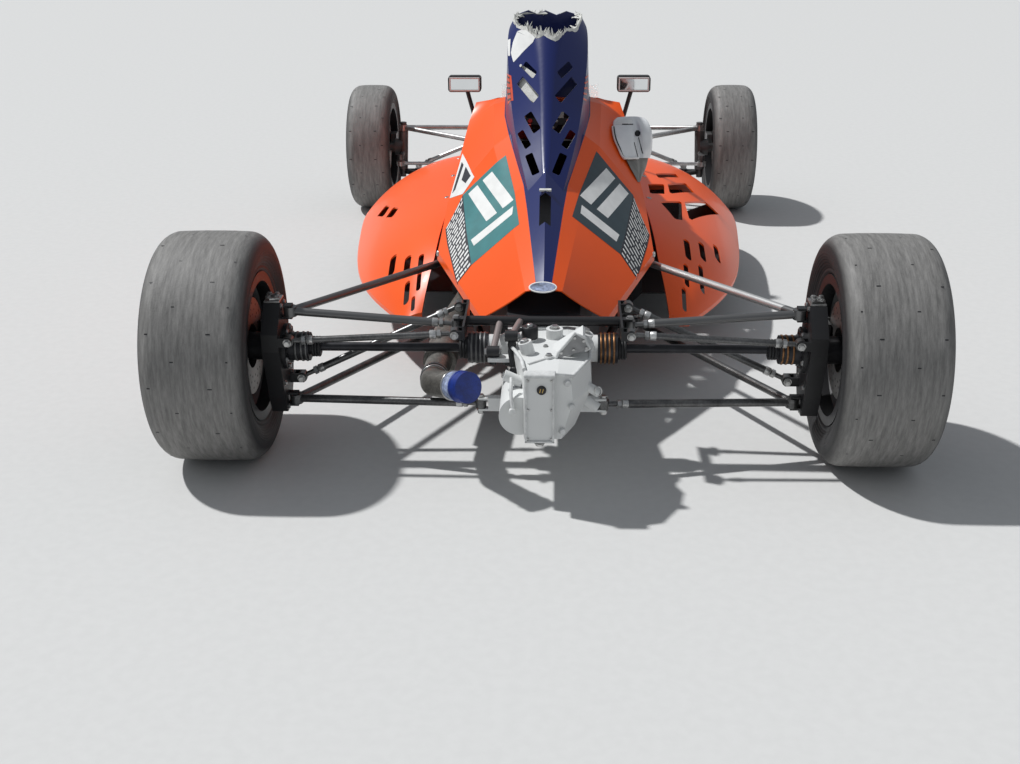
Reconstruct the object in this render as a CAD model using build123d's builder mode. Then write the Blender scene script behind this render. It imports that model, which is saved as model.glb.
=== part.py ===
from build123d import *
import os
from collections import namedtuple
from math import cos, radians

# Single seat open wheel racing car, in millimetres.
# +X is the car's right, +Y its nose, +Z up. The origin is on the ground under the middle of its length.

os.makedirs("parts", exist_ok=True)

# Layout
WHEELBASE = 2450
TAIL_BEHIND_AXLE = 300
NOSE_AHEAD_OF_AXLE = 950
REAR_Y = TAIL_BEHIND_AXLE - (TAIL_BEHIND_AXLE + WHEELBASE + NOSE_AHEAD_OF_AXLE) / 2
FRONT_Y = REAR_Y + WHEELBASE
RIGHT, LEFT = 1, -1
SIDES = ((RIGHT, "right"), (LEFT, "left"))
UP, ALONG = (0, 0, 1), (0, 1, 0)

# Gaps between pieces: seats that touch, shafts that turn, and the play round the track rod's open end
SEAT_GAP = 0.3
RUNNING_GAP = 0.5

# Wheels, with 13 inch rims: bead seat radius, flange radius
BEAD_RADIUS = 165
FLANGE_RADIUS = 182
RIM_WELL_RADIUS = 150
RIM_WALL = 6
TYRE_WALL = 12
SHOULDER_RADIUS = 42
SPOKE_COUNT = 8
HUB_RADIUS = 48
DISC_RADIUS = 118
DISC_THICKNESS = 10

# Each axle's wheels: its station, tyre diameter and width, rim width, track, and how far the rim's
# spoked face stands out from the wheel's middle plane
Axle = namedtuple("Axle", "name y tyre_od tyre_width rim_width track face_out")
REAR_AXLE = Axle("rear", REAR_Y, 559, 243, 216, 1583, 45)
FRONT_AXLE = Axle("front", FRONT_Y, 508, 177, 160, 1488, 30)

# Suspension links
LINK_RADIUS = 10
EYE_RADIUS = 16
EYE_WIDTH = 24
PICKUP_RADIUS = 13
PICKUP_WIDTH = 22
SHANK_RADIUS = 6
SHANK_LENGTH = 45
EAR_THICKNESS = 5
PUSHROD_RADIUS = 9

# Rear suspension points beside the rear axle: distance from the middle, station from the axle, height
REAR_UPPER_BALL = (610, 0, 370)
REAR_LOWER_BALL = (610, 0, 142)
REAR_TOE_BALL = (606, -62, 316)
REAR_PUSH_BALL = (600, 42, 184)
REAR_UPPER_REAR_PICKUP = (208, 0, 340)
REAR_UPPER_FRONT_PICKUP = (255, 610, 322)
REAR_LOWER_REAR_PICKUP = (146, -100, 176)
REAR_LOWER_FRONT_PICKUP = (262, 640, 120)
REAR_TOE_PICKUP = (208, -62, 338)
REAR_PUSH_TOP = (208, 100, 352)

# Rear uprights and half shafts
UPRIGHT_INNER_X = 628
UPRIGHT_OUTER_X = 668
STUB_RADIUS = 34
BEARING_BOSS_RADIUS = 56
SHAFT_RADIUS = 11
JOINT_RADIUS = 37
JOINT_LENGTH = 48
GEARBOX_FLANGE_X = 132

# Front suspension points, from the front axle
KINGPIN_TOP = (620, 0, 335)
KINGPIN_BOTTOM = (628, 0, 150)
KINGPIN_RADIUS = 8
FRONT_PICKUP_SPREAD = 180
FRONT_UPPER_PICKUP_Z = 300
FRONT_LOWER_PICKUP_Z = 115
FRONT_PUSH_BALL_X = 560
BALL_SEAT_HALF = 12
STEERING_ARM_LENGTH = 100
RACK_Z = 205
RACK_RADIUS = 11
TRACK_ROD_RADIUS = 7
ROD_END_RADIUS = 18
ROD_END_BORE = 12
ROD_END_PIN = 5
ROD_END_WIDTH = 18
ARM_RISE = 26
STUB_AXLE_RADIUS = 16
UPRIGHT_POST_RADIUS = 20

# Body panels
PANEL = 4
TUB_WALL = 10
TUB_BOTTOM_Z = 45
TUB_TOP_Z = 340
TUB_CHINE = 60
TUB_REAR = REAR_Y + 950
NOSE_JOINT = FRONT_Y + 400
COCKPIT_WIDE_END = REAR_Y + 1600
POD_FRONT = REAR_Y + 1960


def aft(station):
    """Y of a station measured forward from the rear axle."""
    return REAR_Y + station


def fore(station):
    """Y of a station measured forward from the front axle."""
    return FRONT_Y + station


def across(y):
    """Plane across the car at Y, with its own x to the right and y up."""
    return Plane.XZ.offset(-y)


def save(part, name):
    part.label = name
    export_step(part, f"parts/{name}.step")


def rod(start, end, radius, mode=Mode.ADD):
    """Round rod from one point to another."""
    run = Vector(*end) - Vector(*start)
    with Locations(Plane(origin=start, z_dir=run)):
        Cylinder(radius, run.length, align=(Align.CENTER, Align.CENTER, Align.MIN), mode=mode)


def drum(centre, axis, radius, length, mode=Mode.ADD):
    """Cylinder with its middle at a point."""
    with Locations(Plane(origin=centre, z_dir=axis)):
        Cylinder(radius, length, mode=mode)


def block(low, high, mode=Mode.ADD):
    """Box between two corners."""
    size = [b - a for a, b in zip(low, high)]
    middle = [(a + b) / 2 for a, b in zip(low, high)]
    with Locations(tuple(middle)):
        Box(*size, mode=mode)


def beside(side, point, axle_y):
    """Place a suspension point on one side of the car."""
    return (side * point[0], axle_y + point[1], point[2])


def both_halves(right_half):
    """Full section from its right-hand points, listed from the top middle down."""
    return list(right_half) + [(-x, z) for x, z in reversed(right_half) if x > 0]


def inset(points, wall):
    """Move each side of a convex polygon inwards by a wall."""
    count = len(points)
    centre = Vector(sum(p[0] for p in points) / count, sum(p[1] for p in points) / count)
    sides = []
    for i in range(count):
        a = Vector(*points[i])
        run = (Vector(*points[(i + 1) % count]) - a).normalized()
        normal = Vector(-run.Y, run.X)
        if normal.dot(centre - a) < 0:
            normal = -normal
        sides.append((a + normal * wall, run))
    moved = []
    for i in range(count):
        (a, u), (b, v) = sides[i - 1], sides[i]
        cross = u.X * v.Y - u.Y * v.X
        if abs(cross) < 1e-6:
            moved.append((b.X, b.Y))
        else:
            t = ((b.X - a.X) * v.Y - (b.Y - a.Y) * v.X) / cross
            moved.append((a.X + u.X * t, a.Y + u.Y * t))
    return moved


def polygon_at(plane, points):
    with BuildSketch(plane) as face:
        with BuildLine():
            Polyline(*points, close=True)
        make_face()
    return face.sketch


def ruled(sections, mode=Mode.ADD):
    """Loft straight between sections given as (y, points)."""
    loft([polygon_at(across(y), points) for y, points in sections], ruled=True, mode=mode)


def between(rows, y, column):
    """Read a column of a body table at any station, on the straight line between its rows."""
    for low, high in zip(rows, rows[1:]):
        if low[0] <= y <= high[0]:
            share = (y - low[0]) / (high[0] - low[0])
            return low[column] + share * (high[column] - low[column])
    return rows[-1][column] if y > rows[-1][0] else rows[0][column]


# Wheels

def wheel_plane(axle, side):
    """Plane through a wheel's axis, with its own x outwards and y up."""
    centre = (side * axle.track / 2, axle.y, axle.tyre_od / 2)
    return Plane(origin=centre, x_dir=(side, 0, 0), z_dir=(0, -side, 0))


def wheel_axis(axle):
    return Axis((0, axle.y, axle.tyre_od / 2), (1, 0, 0))


def at_wheel(axle, side, out):
    """Point on a wheel's axis, a distance out from its middle plane."""
    return (side * (axle.track / 2 + out), axle.y, axle.tyre_od / 2)


def spin(plane, axis, points):
    """Solid of revolution of a closed outline."""
    with BuildPart() as turned:
        revolve(polygon_at(plane, points), axis=axis)
    return turned.part


def make_tyre(axle, side):
    """Slick tyre: an open casing with round shoulders, seated between the rim's flanges."""
    bead = axle.rim_width / 2 - RIM_WALL - SEAT_GAP
    casings = []
    for wall in (0, TYRE_WALL):
        tread_r = axle.tyre_od / 2 - wall
        half = axle.tyre_width / 2 - wall
        round_r = SHOULDER_RADIUS - wall / 2
        knee = round_r * (1 - cos(radians(45)))
        foot = (bead - wall, FLANGE_RADIUS + 4)
        with BuildSketch(wheel_plane(axle, side)) as profile:
            with BuildLine():
                Polyline((half - round_r, tread_r), (round_r - half, tread_r))
                ThreePointArc((round_r - half, tread_r), (knee - half, tread_r - knee), (-half, tread_r - round_r))
                Polyline((-half, tread_r - round_r), (-foot[0], foot[1]), (-foot[0], BEAD_RADIUS + SEAT_GAP),
                         (foot[0], BEAD_RADIUS + SEAT_GAP), foot, (half, tread_r - round_r))
                ThreePointArc((half, tread_r - round_r), (half - knee, tread_r - knee), (half - round_r, tread_r))
            make_face()
        casings.append(profile.sketch)
    with BuildPart() as tyre:
        revolve(casings[0], axis=wheel_axis(axle))
        revolve(casings[1], axis=wheel_axis(axle), mode=Mode.SUBTRACT)
    return tyre.part


def make_rim(axle, side):
    """Rim barrel with two flanges, a spoked face with windows, and a hub bored for the stub."""
    half = axle.rim_width / 2
    face = axle.face_out
    seat = half - RIM_WALL
    well = half - 45
    barrel = [
        (half, FLANGE_RADIUS), (seat, FLANGE_RADIUS), (seat, BEAD_RADIUS),
        (well + 12, BEAD_RADIUS), (well, RIM_WELL_RADIUS + RIM_WALL),
        (-well, RIM_WELL_RADIUS + RIM_WALL), (-well - 12, BEAD_RADIUS),
        (-seat, BEAD_RADIUS), (-seat, FLANGE_RADIUS), (-half, FLANGE_RADIUS),
        (-half, BEAD_RADIUS - RIM_WALL), (-well - 12, BEAD_RADIUS - RIM_WALL),
        (-well, RIM_WELL_RADIUS), (well, RIM_WELL_RADIUS),
        (well + 12, BEAD_RADIUS - RIM_WALL), (half, BEAD_RADIUS - RIM_WALL),
    ]
    dish = [
        (face, 0), (face, HUB_RADIUS), (face - 10, 70), (face - 4, RIM_WELL_RADIUS + 2),
        (face - 22, RIM_WELL_RADIUS + 2), (face - 26, 70), (face - 26, 0),
    ]
    with BuildPart() as rim:
        revolve(polygon_at(wheel_plane(axle, side), barrel), axis=wheel_axis(axle))
        revolve(polygon_at(wheel_plane(axle, side), dish), axis=wheel_axis(axle))
        windows = Plane(origin=at_wheel(axle, side, face), x_dir=(0, 1, 0), z_dir=(side, 0, 0))
        with BuildSketch(windows) as cut:
            with PolarLocations(112, SPOKE_COUNT):
                Trapezoid(62, 62, 76, rotation=90)
        extrude(cut.sketch, amount=-60, mode=Mode.SUBTRACT)
    return rim.part


def make_disc(axle, side, out, stub_r):
    """Brake disc with its bell, between the upright and the rim's face."""
    face = axle.face_out - 26 - SEAT_GAP
    half = DISC_THICKNESS / 2
    profile = [
        (out - half, DISC_RADIUS), (out + half, DISC_RADIUS), (out + half, 62), (face, 62),
        (face, stub_r), (face - 8, stub_r), (face - 8, 54), (out - half, 54),
    ]
    return spin(wheel_plane(axle, side), wheel_axis(axle), profile)


def make_half_shaft(side):
    """Half shaft with its two joint housings and the stub that drives the rear hub."""
    axle = REAR_AXLE
    z = axle.tyre_od / 2
    inner = GEARBOX_FLANGE_X + SEAT_GAP
    outer = UPRIGHT_INNER_X - 14

    def rod_x(x0, x1, radius):
        rod((side * x0, axle.y, z), (side * x1, axle.y, z), radius)

    with BuildPart() as shaft:
        rod_x(inner, inner + JOINT_LENGTH, JOINT_RADIUS)
        rod_x(inner + JOINT_LENGTH, inner + JOINT_LENGTH + 22, JOINT_RADIUS - 14)
        rod_x(inner + JOINT_LENGTH, outer - JOINT_LENGTH, SHAFT_RADIUS)
        rod_x(outer - JOINT_LENGTH - 26, outer - JOINT_LENGTH, JOINT_RADIUS - 16)
        rod_x(outer - JOINT_LENGTH, outer, JOINT_RADIUS - 2)
        hub_face = axle.track / 2 + axle.face_out - 26 - 2 * SEAT_GAP
        rod_x(outer - 1, hub_face, STUB_RADIUS)
    return shaft.part


def make_caliper(axle, side, out, y_side, mount_x):
    """Two pistons' caliper bridging the disc's edge, on a lug that reaches in to the upright."""
    z = axle.tyre_od / 2
    x0 = axle.track / 2 + out
    slot = DISC_THICKNESS / 2 + 5
    body_half = slot + 22
    low = DISC_RADIUS - 44
    high = DISC_RADIUS + 20
    with BuildPart() as caliper:
        near, far = sorted((side * (x0 - body_half), side * (x0 + body_half)))
        y_in, y_out = sorted((axle.y + y_side * low, axle.y + y_side * high))
        block((near, y_in, z - 38), (far, y_out, z + 38))
        slot_low, slot_high = sorted((side * (x0 - slot), side * (x0 + slot)))
        y_slot_in, y_slot_out = sorted((axle.y + y_side * (low - 5), axle.y + y_side * (DISC_RADIUS + 5)))
        block((slot_low, y_slot_in, z - 45), (slot_high, y_slot_out, z + 45), mode=Mode.SUBTRACT)
        lug_near, lug_far = sorted((side * mount_x, side * (x0 - body_half)))
        lug_in, lug_out = sorted((axle.y + y_side * (low + 2), axle.y + y_side * (low + 24)))
        block((lug_near, lug_in, z - 14), (lug_far, lug_out, z + 14))
    return caliper.part


REAR_DISC_OUT = -78
FRONT_DISC_OUT = -50
STUBS = {"rear": STUB_RADIUS, "front": STUB_AXLE_RADIUS}
DISC_OUTS = {"rear": REAR_DISC_OUT, "front": FRONT_DISC_OUT}

for axle in (REAR_AXLE, FRONT_AXLE):
    for side, word in SIDES:
        save(make_tyre(axle, side), f"tyre_{axle.name}_{word}")
        save(make_rim(axle, side), f"rim_{axle.name}_{word}")
        disc = make_disc(axle, side, DISC_OUTS[axle.name], STUBS[axle.name] + RUNNING_GAP)
        save(disc, f"brake_disc_{axle.name}_{word}")

for side, word in SIDES:
    save(make_half_shaft(side), f"half_shaft_{word}")


# Rear suspension

def link(start, end, radius=LINK_RADIUS, bolt=UP):
    """Link tube with a threaded shank and an eye at its inner end."""
    run = Vector(*end) - Vector(*start)
    shoulder = Vector(*end) - run.normalized() * SHANK_LENGTH
    rod(start, tuple(shoulder), radius)
    rod(tuple(shoulder), end, SHANK_RADIUS)
    drum(end, bolt, PICKUP_RADIUS, PICKUP_WIDTH)


def make_links(outer, inner, axle_y, radius):
    """Pair of single links with a shank and an eye at each end."""
    with BuildPart() as pair:
        for side, word in SIDES:
            start, end = beside(side, outer, axle_y), beside(side, inner, axle_y)
            middle = tuple((Vector(*start) + Vector(*end)) / 2)
            link(middle, start, radius, ALONG)
            link(middle, end, radius, ALONG)
    return pair


def ears(eye, wall_x, width, side, bolt=UP):
    """Bracket of two ears that holds an eye, out from a wall at X = wall_x to just past the bolt."""
    x, y, z = eye
    outwards = 1 if x > side * wall_x else -1
    near, far = sorted((side * wall_x, x + outwards * 6))
    half = PICKUP_RADIUS - 2
    reach = width / 2 + SEAT_GAP + EAR_THICKNESS
    for step in (-1, 1):
        low, high = sorted((step * (reach - EAR_THICKNESS), step * reach))
        if bolt == UP:
            block((near, y - half, z + low), (far, y + half, z + high))
        else:
            block((near, y + low, z - half), (far, y + high, z + half))
    back = x - outwards * (EYE_RADIUS + 2)
    if (back - side * wall_x) * outwards > 0:
        near, far = sorted((side * wall_x, back))
        rise = reach if bolt == UP else half
        spread = half if bolt == UP else reach
        block((near, y - spread, z - rise), (far, y + spread, z + rise))


def make_wishbones(ball, pickups, axle_y):
    """Pair of wishbones, one solid a side: an outer eye and two legs."""
    with BuildPart() as pair:
        for side, word in SIDES:
            outer = beside(side, ball, axle_y)
            for pickup in pickups:
                link(outer, beside(side, pickup, axle_y))
            drum(outer, UP, EYE_RADIUS, EYE_WIDTH)
    return pair


rear_upper = make_wishbones(REAR_UPPER_BALL, (REAR_UPPER_FRONT_PICKUP, REAR_UPPER_REAR_PICKUP), REAR_Y)
save(rear_upper.part, "rear_upper_wishbones")
rear_lower = make_wishbones(REAR_LOWER_BALL, (REAR_LOWER_FRONT_PICKUP, REAR_LOWER_REAR_PICKUP), REAR_Y)
save(rear_lower.part, "rear_lower_wishbones")
toe_links = make_links(REAR_TOE_BALL, REAR_TOE_PICKUP, REAR_Y, PUSHROD_RADIUS - 1)
save(toe_links.part, "rear_toe_links")
rear_pushrods = make_links(REAR_PUSH_BALL, REAR_PUSH_TOP, REAR_Y, PUSHROD_RADIUS)
save(rear_pushrods.part, "rear_pushrods")


def make_rear_upright(side):
    """Cast rear upright: a tapered plate round the bearing boss, with ears for each link."""
    z = REAR_AXLE.tyre_od / 2
    with BuildPart() as upright:
        plate = Plane(origin=(side * UPRIGHT_INNER_X, REAR_Y, 0), x_dir=(0, side, 0), z_dir=(side, 0, 0))
        shape = [(-26, 398), (26, 398), (52, z + 40), (98, z + 16), (98, z - 16), (60, 165), (24, 116), (-24, 116),
                 (-44, 165), (-78, z + 12), (-78, z + 56)]
        extrude(polygon_at(plane=plate, points=[(side * u, v) for u, v in shape]),
                amount=UPRIGHT_OUTER_X - UPRIGHT_INNER_X)
        rod((side * (UPRIGHT_INNER_X - 10), REAR_Y, z), (side * (UPRIGHT_OUTER_X + 6), REAR_Y, z), BEARING_BOSS_RADIUS)
        for point, width, bolt in ((REAR_UPPER_BALL, EYE_WIDTH, UP), (REAR_LOWER_BALL, EYE_WIDTH, UP),
                                   (REAR_TOE_BALL, PICKUP_WIDTH, ALONG), (REAR_PUSH_BALL, PICKUP_WIDTH, ALONG)):
            ears(beside(side, point, REAR_Y), UPRIGHT_INNER_X + 1, width, side, bolt)
        rod((side * (UPRIGHT_INNER_X - 60), REAR_Y, z), (side * (UPRIGHT_OUTER_X + 20), REAR_Y, z),
            STUB_RADIUS + RUNNING_GAP, mode=Mode.SUBTRACT)
    return upright.part


for side, word in SIDES:
    save(make_rear_upright(side), f"rear_upright_{word}")

with BuildPart() as rear_calipers:
    for side, word in SIDES:
        add(make_caliper(REAR_AXLE, side, REAR_DISC_OUT, 1, UPRIGHT_OUTER_X + SEAT_GAP))
save(rear_calipers.part, "rear_calipers")


# Tub and body panels

Tub = namedtuple("Tub", "y half_width top_z")
TUB_ROWS = [
    Tub(TUB_REAR, 300, TUB_TOP_Z),
    Tub(COCKPIT_WIDE_END, 300, TUB_TOP_Z),
    Tub(POD_FRONT, 278, TUB_TOP_Z),
    Tub(fore(-200), 205, TUB_TOP_Z),
    Tub(fore(0), 180, TUB_TOP_Z),
    Tub(NOSE_JOINT, 140, TUB_TOP_Z - 20),
]


def tub_half_width(y):
    return between(TUB_ROWS, y, 1)


def tub_section(row, wall):
    """U of the tub's walls: its outside, or its inside left open above."""
    half = row.half_width - wall
    chine = TUB_CHINE - wall / 2
    top = row.top_z + (wall and 50)
    return both_halves([(half, top), (half, TUB_BOTTOM_Z + TUB_CHINE), (half - chine, TUB_BOTTOM_Z + wall)])


def front_eye(side, step, z):
    """Inner eye of a front wishbone's leg, standing off the tub's side."""
    y = fore(step * FRONT_PICKUP_SPREAD)
    return (tub_half_width(y) + PICKUP_RADIUS + 6, step * FRONT_PICKUP_SPREAD, z)


FRONT_PUSH_TOP = (tub_half_width(FRONT_Y) + PICKUP_RADIUS + 6, 0, TUB_TOP_Z - 20)

with BuildPart() as chassis_tub:
    ruled([(row.y, tub_section(row, 0)) for row in TUB_ROWS])
    inner_rows = [TUB_ROWS[0]._replace(y=TUB_REAR + TUB_WALL)] + TUB_ROWS[1:-1]
    inner_rows.append(TUB_ROWS[-1]._replace(y=NOSE_JOINT - TUB_WALL))
    ruled([(row.y, tub_section(row, TUB_WALL)) for row in inner_rows], mode=Mode.SUBTRACT)
    for side, word in SIDES:
        for step in (-1, 1):
            for z in (FRONT_UPPER_PICKUP_Z, FRONT_LOWER_PICKUP_Z):
                eye = front_eye(side, step, z)
                wall_x = tub_half_width(FRONT_Y + eye[1]) - 5
                ears(beside(side, eye, FRONT_Y), wall_x, PICKUP_WIDTH, side)
        ears(beside(side, FRONT_PUSH_TOP, FRONT_Y), tub_half_width(FRONT_Y) - 5, PICKUP_WIDTH, side, ALONG)
    rack_y = fore(-STEERING_ARM_LENGTH)
    rod((-400, rack_y, RACK_Z), (400, rack_y, RACK_Z), RACK_RADIUS + RUNNING_GAP, mode=Mode.SUBTRACT)
save(chassis_tub.part, "chassis_tub")

Cover = namedtuple("Cover", "y ridge_z spine_x spine_z strip_x strip_z fold_x fold_z hem_x hem_z")
COVER_TIP = aft(100)
COVER_FRONT = aft(1000)
COVER_ROWS = [
    Cover(COVER_TIP, 392, 16, 388, 42, 372, 120, 262, 123, 244),
    Cover(aft(500), 612, 59, 560, 105, 522, 298, 372, 300, 350),
    Cover(aft(700), 690, 105, 656, 150, 622, 282, 467, 310, 318),
    Cover(TUB_REAR, 714, 120, 708, 160, 698, 235, 648, 299, TUB_TOP_Z + SEAT_GAP),
    Cover(COVER_FRONT, 716, 120, 712, 150, 706, 217, 694, 299, TUB_TOP_Z + SEAT_GAP),
]
# Cowl, from where it rises out of the cover's spine: its foot's half width and height, its ridge's height, how far
# up its sides end, and where its flanks end and the round ridge begins, as shares of the width and of the last rise
Cowl = namedtuple("Cowl", "y half_width foot_z ridge_z side_share flank_x flank_rise")
COWL_ROWS = [
    Cowl(aft(400), 40, 496, 545, 0.42, 0.20, 0.86),
    Cowl(aft(520), 64, 560, 628, 0.42, 0.20, 0.86),
    Cowl(aft(640), 92, 622, 742, 0.42, 0.22, 0.86),
    Cowl(aft(760), 112, 666, 880, 0.48, 0.30, 0.84),
    Cowl(aft(880), 123, 690, 1000, 0.62, 0.48, 0.78),
    Cowl(COVER_FRONT, 104, 700, 1050, 0.66, 0.55, 0.74),
]
COWL_LEAN = 0.94
COWL_MOUTH_DEPTH = 30

# Torn top: height of the break over the front of the cowl, its fall towards the rear, and its teeth (x, rise)
TORN_Z = 958
TORN_FALL = 0.2
TORN_TEETH = [(-150, 4), (-104, 8), (-86, -4), (-58, 6), (-30, -6), (-8, 5), (24, -8), (52, 3), (78, -5), (98, 8),
              (150, 4)]

# Slots in the cowl's rear face, on both sides of its ridge; tilt is from level, up and outwards
Louvre = namedtuple("Louvre", "x station z length width tilt")
COWL_LOUVRES = [
    Louvre(50, 720, 828, 40, 22, 35),
    Louvre(55, 685, 780, 66, 27, 40),
    Louvre(39, 605, 704, 46, 26, 52),
    Louvre(61, 590, 662, 40, 21, 52),
    Louvre(37, 520, 611, 46, 23, 62),
]
LOUVRE_REACH = 70
LOUVRE_CORNER = 4
VENT_HALF_WIDTH = 15
VENT_REAR, VENT_FRONT = aft(312), aft(415)
CORNER_STATION = aft(186)
CORNER_X = 150


def cover_section(row, wall):
    """Half-arch of the engine cover at one station, closed straight across at its hem."""
    half = [(0, row.ridge_z), (row.spine_x, row.spine_z), (row.strip_x, row.strip_z), (row.fold_x, row.fold_z),
            (row.hem_x, row.hem_z)]
    points = both_halves(half)
    if wall:
        points = inset(points, wall)
        count = len(half)
        for i in (count - 1, count):
            points[i] = (points[i][0], row.hem_z - 30)
    return points


def cowl_section(row, wall):
    """Arch of the cowl at one station: leaning sides, flat flanks and a round ridge, open at its foot."""
    half = row.half_width - wall
    ridge_z = row.ridge_z - wall
    side_z = row.foot_z + row.side_share * (row.ridge_z - row.foot_z)
    shoulder = (half * COWL_LEAN, side_z)
    flank = (half * row.flank_x, side_z + row.flank_rise * (ridge_z - side_z))
    foot_z = row.foot_z - (wall and COWL_MOUTH_DEPTH)
    with BuildSketch(across(row.y)) as arch:
        with BuildLine():
            Polyline((-flank[0], flank[1]), (-shoulder[0], shoulder[1]), (-half, foot_z), (half, foot_z), shoulder,
                     flank)
            ThreePointArc(flank, (0, ridge_z), (-flank[0], flank[1]))
        make_face()
    return arch.sketch


ENGINE_HALF_WIDTH = 125
ENGINE_TOP_Z = 430
ENGINE_BOTTOM_Z = 85
ENGINE_REAR = aft(400)

# Intake scoop on the right shoulder, from its tail up to its collar: middle and radius of each round
Ring = namedtuple("Ring", "x y z radius")
SCOOP_RINGS = [Ring(278, aft(822), 490, 14), Ring(274, aft(862), 536, 40), Ring(264, aft(905), 586, 54),
               Ring(248, aft(940), 632, 50), Ring(240, aft(950), 655, 34)]
SCOOP_SPLAY = 0.38
SCOOP_LOBE = 0.68
SCOOP_NOTCH = 8
SCOOP_DUCT = 24


def scoop_body(spread, mode=Mode.ADD):
    """Scoop and its duct down to the engine, or the notch that clears them."""
    for lobe in (-1, 1):
        rings = []
        for ring in SCOOP_RINGS:
            with BuildSketch(Plane.XY.offset(ring.z)) as flat:
                with Locations((ring.x + lobe * SCOOP_SPLAY * ring.radius, ring.y)):
                    Circle(SCOOP_LOBE * ring.radius + spread)
            rings.append(flat.sketch)
        loft(rings, mode=mode)
    belly = SCOOP_RINGS[2]
    rod((belly.x, belly.y, belly.z), (ENGINE_HALF_WIDTH - 40, aft(860), ENGINE_TOP_Z - 60), SCOOP_DUCT + spread, mode)


with BuildPart() as engine_cover:
    ruled([(row.y, cover_section(row, 0)) for row in COVER_ROWS])
    loft([cowl_section(row, 0) for row in COWL_ROWS])
    inner_rows = [COVER_ROWS[0]._replace(y=COVER_TIP - 5)] + COVER_ROWS[1:-1]
    inner_rows.append(COVER_ROWS[-1]._replace(y=COVER_FRONT + 5))
    ruled([(row.y, cover_section(row, PANEL)) for row in inner_rows], mode=Mode.SUBTRACT)
    inner_cowl = COWL_ROWS[:-1] + [COWL_ROWS[-1]._replace(y=COVER_FRONT - PANEL)]
    loft([cowl_section(row, PANEL) for row in inner_cowl], mode=Mode.SUBTRACT)
    torn_rear = COVER_FRONT - 300
    torn_low = TORN_Z - 300 * TORN_FALL
    break_line = [(x, torn_low + rise) for x, rise in TORN_TEETH] + [(150, 1200), (-150, 1200)]
    extrude(polygon_at(across(torn_rear), break_line), amount=320, dir=(0, 1, TORN_FALL), mode=Mode.SUBTRACT)
    for louvre in COWL_LOUVRES:
        with BuildSketch(across(aft(louvre.station) - LOUVRE_REACH)) as cut:
            for side, word in SIDES:
                with Locations((side * louvre.x, louvre.z)):
                    RectangleRounded(louvre.length, louvre.width, LOUVRE_CORNER, rotation=side * louvre.tilt)
        extrude(cut.sketch, amount=2 * LOUVRE_REACH, dir=ALONG, mode=Mode.SUBTRACT)
    block((-VENT_HALF_WIDTH, VENT_REAR, 440), (VENT_HALF_WIDTH, VENT_FRONT, 640), mode=Mode.SUBTRACT)
    for side, word in SIDES:
        swept = [(0, COVER_TIP - 50), (0, COVER_TIP), (side * CORNER_X, CORNER_STATION), (side * 400, CORNER_STATION + 60),
                 (side * 400, COVER_TIP - 50)]
        extrude(polygon_at(Plane.XY.offset(200), swept), amount=300, mode=Mode.SUBTRACT)
    scoop_body(SCOOP_NOTCH, mode=Mode.SUBTRACT)
save(engine_cover.part, "engine_cover")

Surround = namedtuple("Surround", "y top_z top_x shoulder_x shoulder_z")
SURROUND_REAR = COVER_FRONT + 2 * SEAT_GAP
SURROUND_ROWS = [
    Surround(SURROUND_REAR, 712, 150, 217, 690),
    Surround(aft(1180), 580, 185, 240, 560),
    Surround(aft(1400), 545, 185, 244, 520),
    Surround(COCKPIT_WIDE_END, 542, 180, 242, 515),
    Surround(POD_FRONT, 566, 120, 208, 518),
    Surround(fore(-200), 470, 90, 150, 430),
    Surround(FRONT_Y, 415, 75, 125, 390),
    Surround(NOSE_JOINT, 350, 60, 95, 338),
]
OPENING_REAR = aft(1012)
OPENING_FRONT = aft(1860)


def surround_section(row, wall):
    hem_x = tub_half_width(row.y)
    hem_z = between(TUB_ROWS, row.y, 2) + SEAT_GAP
    half = [(0, row.top_z), (row.top_x, row.top_z - 4), (row.shoulder_x, row.shoulder_z), (hem_x, hem_z)]
    points = both_halves(half)
    if wall:
        points = inset(points, wall)
        count = len(half)
        for i in (count - 1, count):
            points[i] = (points[i][0], hem_z - 30)
    return points


with BuildPart() as surround_body:
    ruled([(row.y, surround_section(row, 0)) for row in SURROUND_ROWS])

with BuildPart() as cockpit_surround:
    add(surround_body.part)
    inner_rows = [SURROUND_ROWS[0]._replace(y=SURROUND_REAR - 5)] + SURROUND_ROWS[1:-1]
    inner_rows.append(SURROUND_ROWS[-1]._replace(y=NOSE_JOINT + 5))
    ruled([(row.y, surround_section(row, PANEL)) for row in inner_rows], mode=Mode.SUBTRACT)
    with BuildSketch(Plane.XY.offset(TUB_TOP_Z + 60)) as opening:
        with BuildLine():
            Polyline((-150, OPENING_FRONT - 120), (-180, OPENING_REAR), (180, OPENING_REAR),
                     (150, OPENING_FRONT - 120))
            ThreePointArc((150, OPENING_FRONT - 120), (0, OPENING_FRONT), (-150, OPENING_FRONT - 120))
        make_face()
    extrude(opening.sketch, amount=500, mode=Mode.SUBTRACT)
save(cockpit_surround.part, "cockpit_surround")

Nose = namedtuple("Nose", "y half_width top_z mid_z bottom_z")
NOSE_ROWS = [
    Nose(NOSE_JOINT + SEAT_GAP, 140, 350, 320, TUB_BOTTOM_Z),
    Nose(fore(700), 128, 262, 215, 62),
    Nose(fore(NOSE_AHEAD_OF_AXLE), 92, 150, 128, 92),
]


def nose_section(row, wall):
    half = [(0, row.top_z), (row.half_width * 0.55, row.top_z - 6), (row.half_width, row.mid_z),
            (row.half_width, row.bottom_z + 26), (row.half_width - 30, row.bottom_z)]
    points = both_halves(half)
    return inset(points, wall) if wall else points


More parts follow.
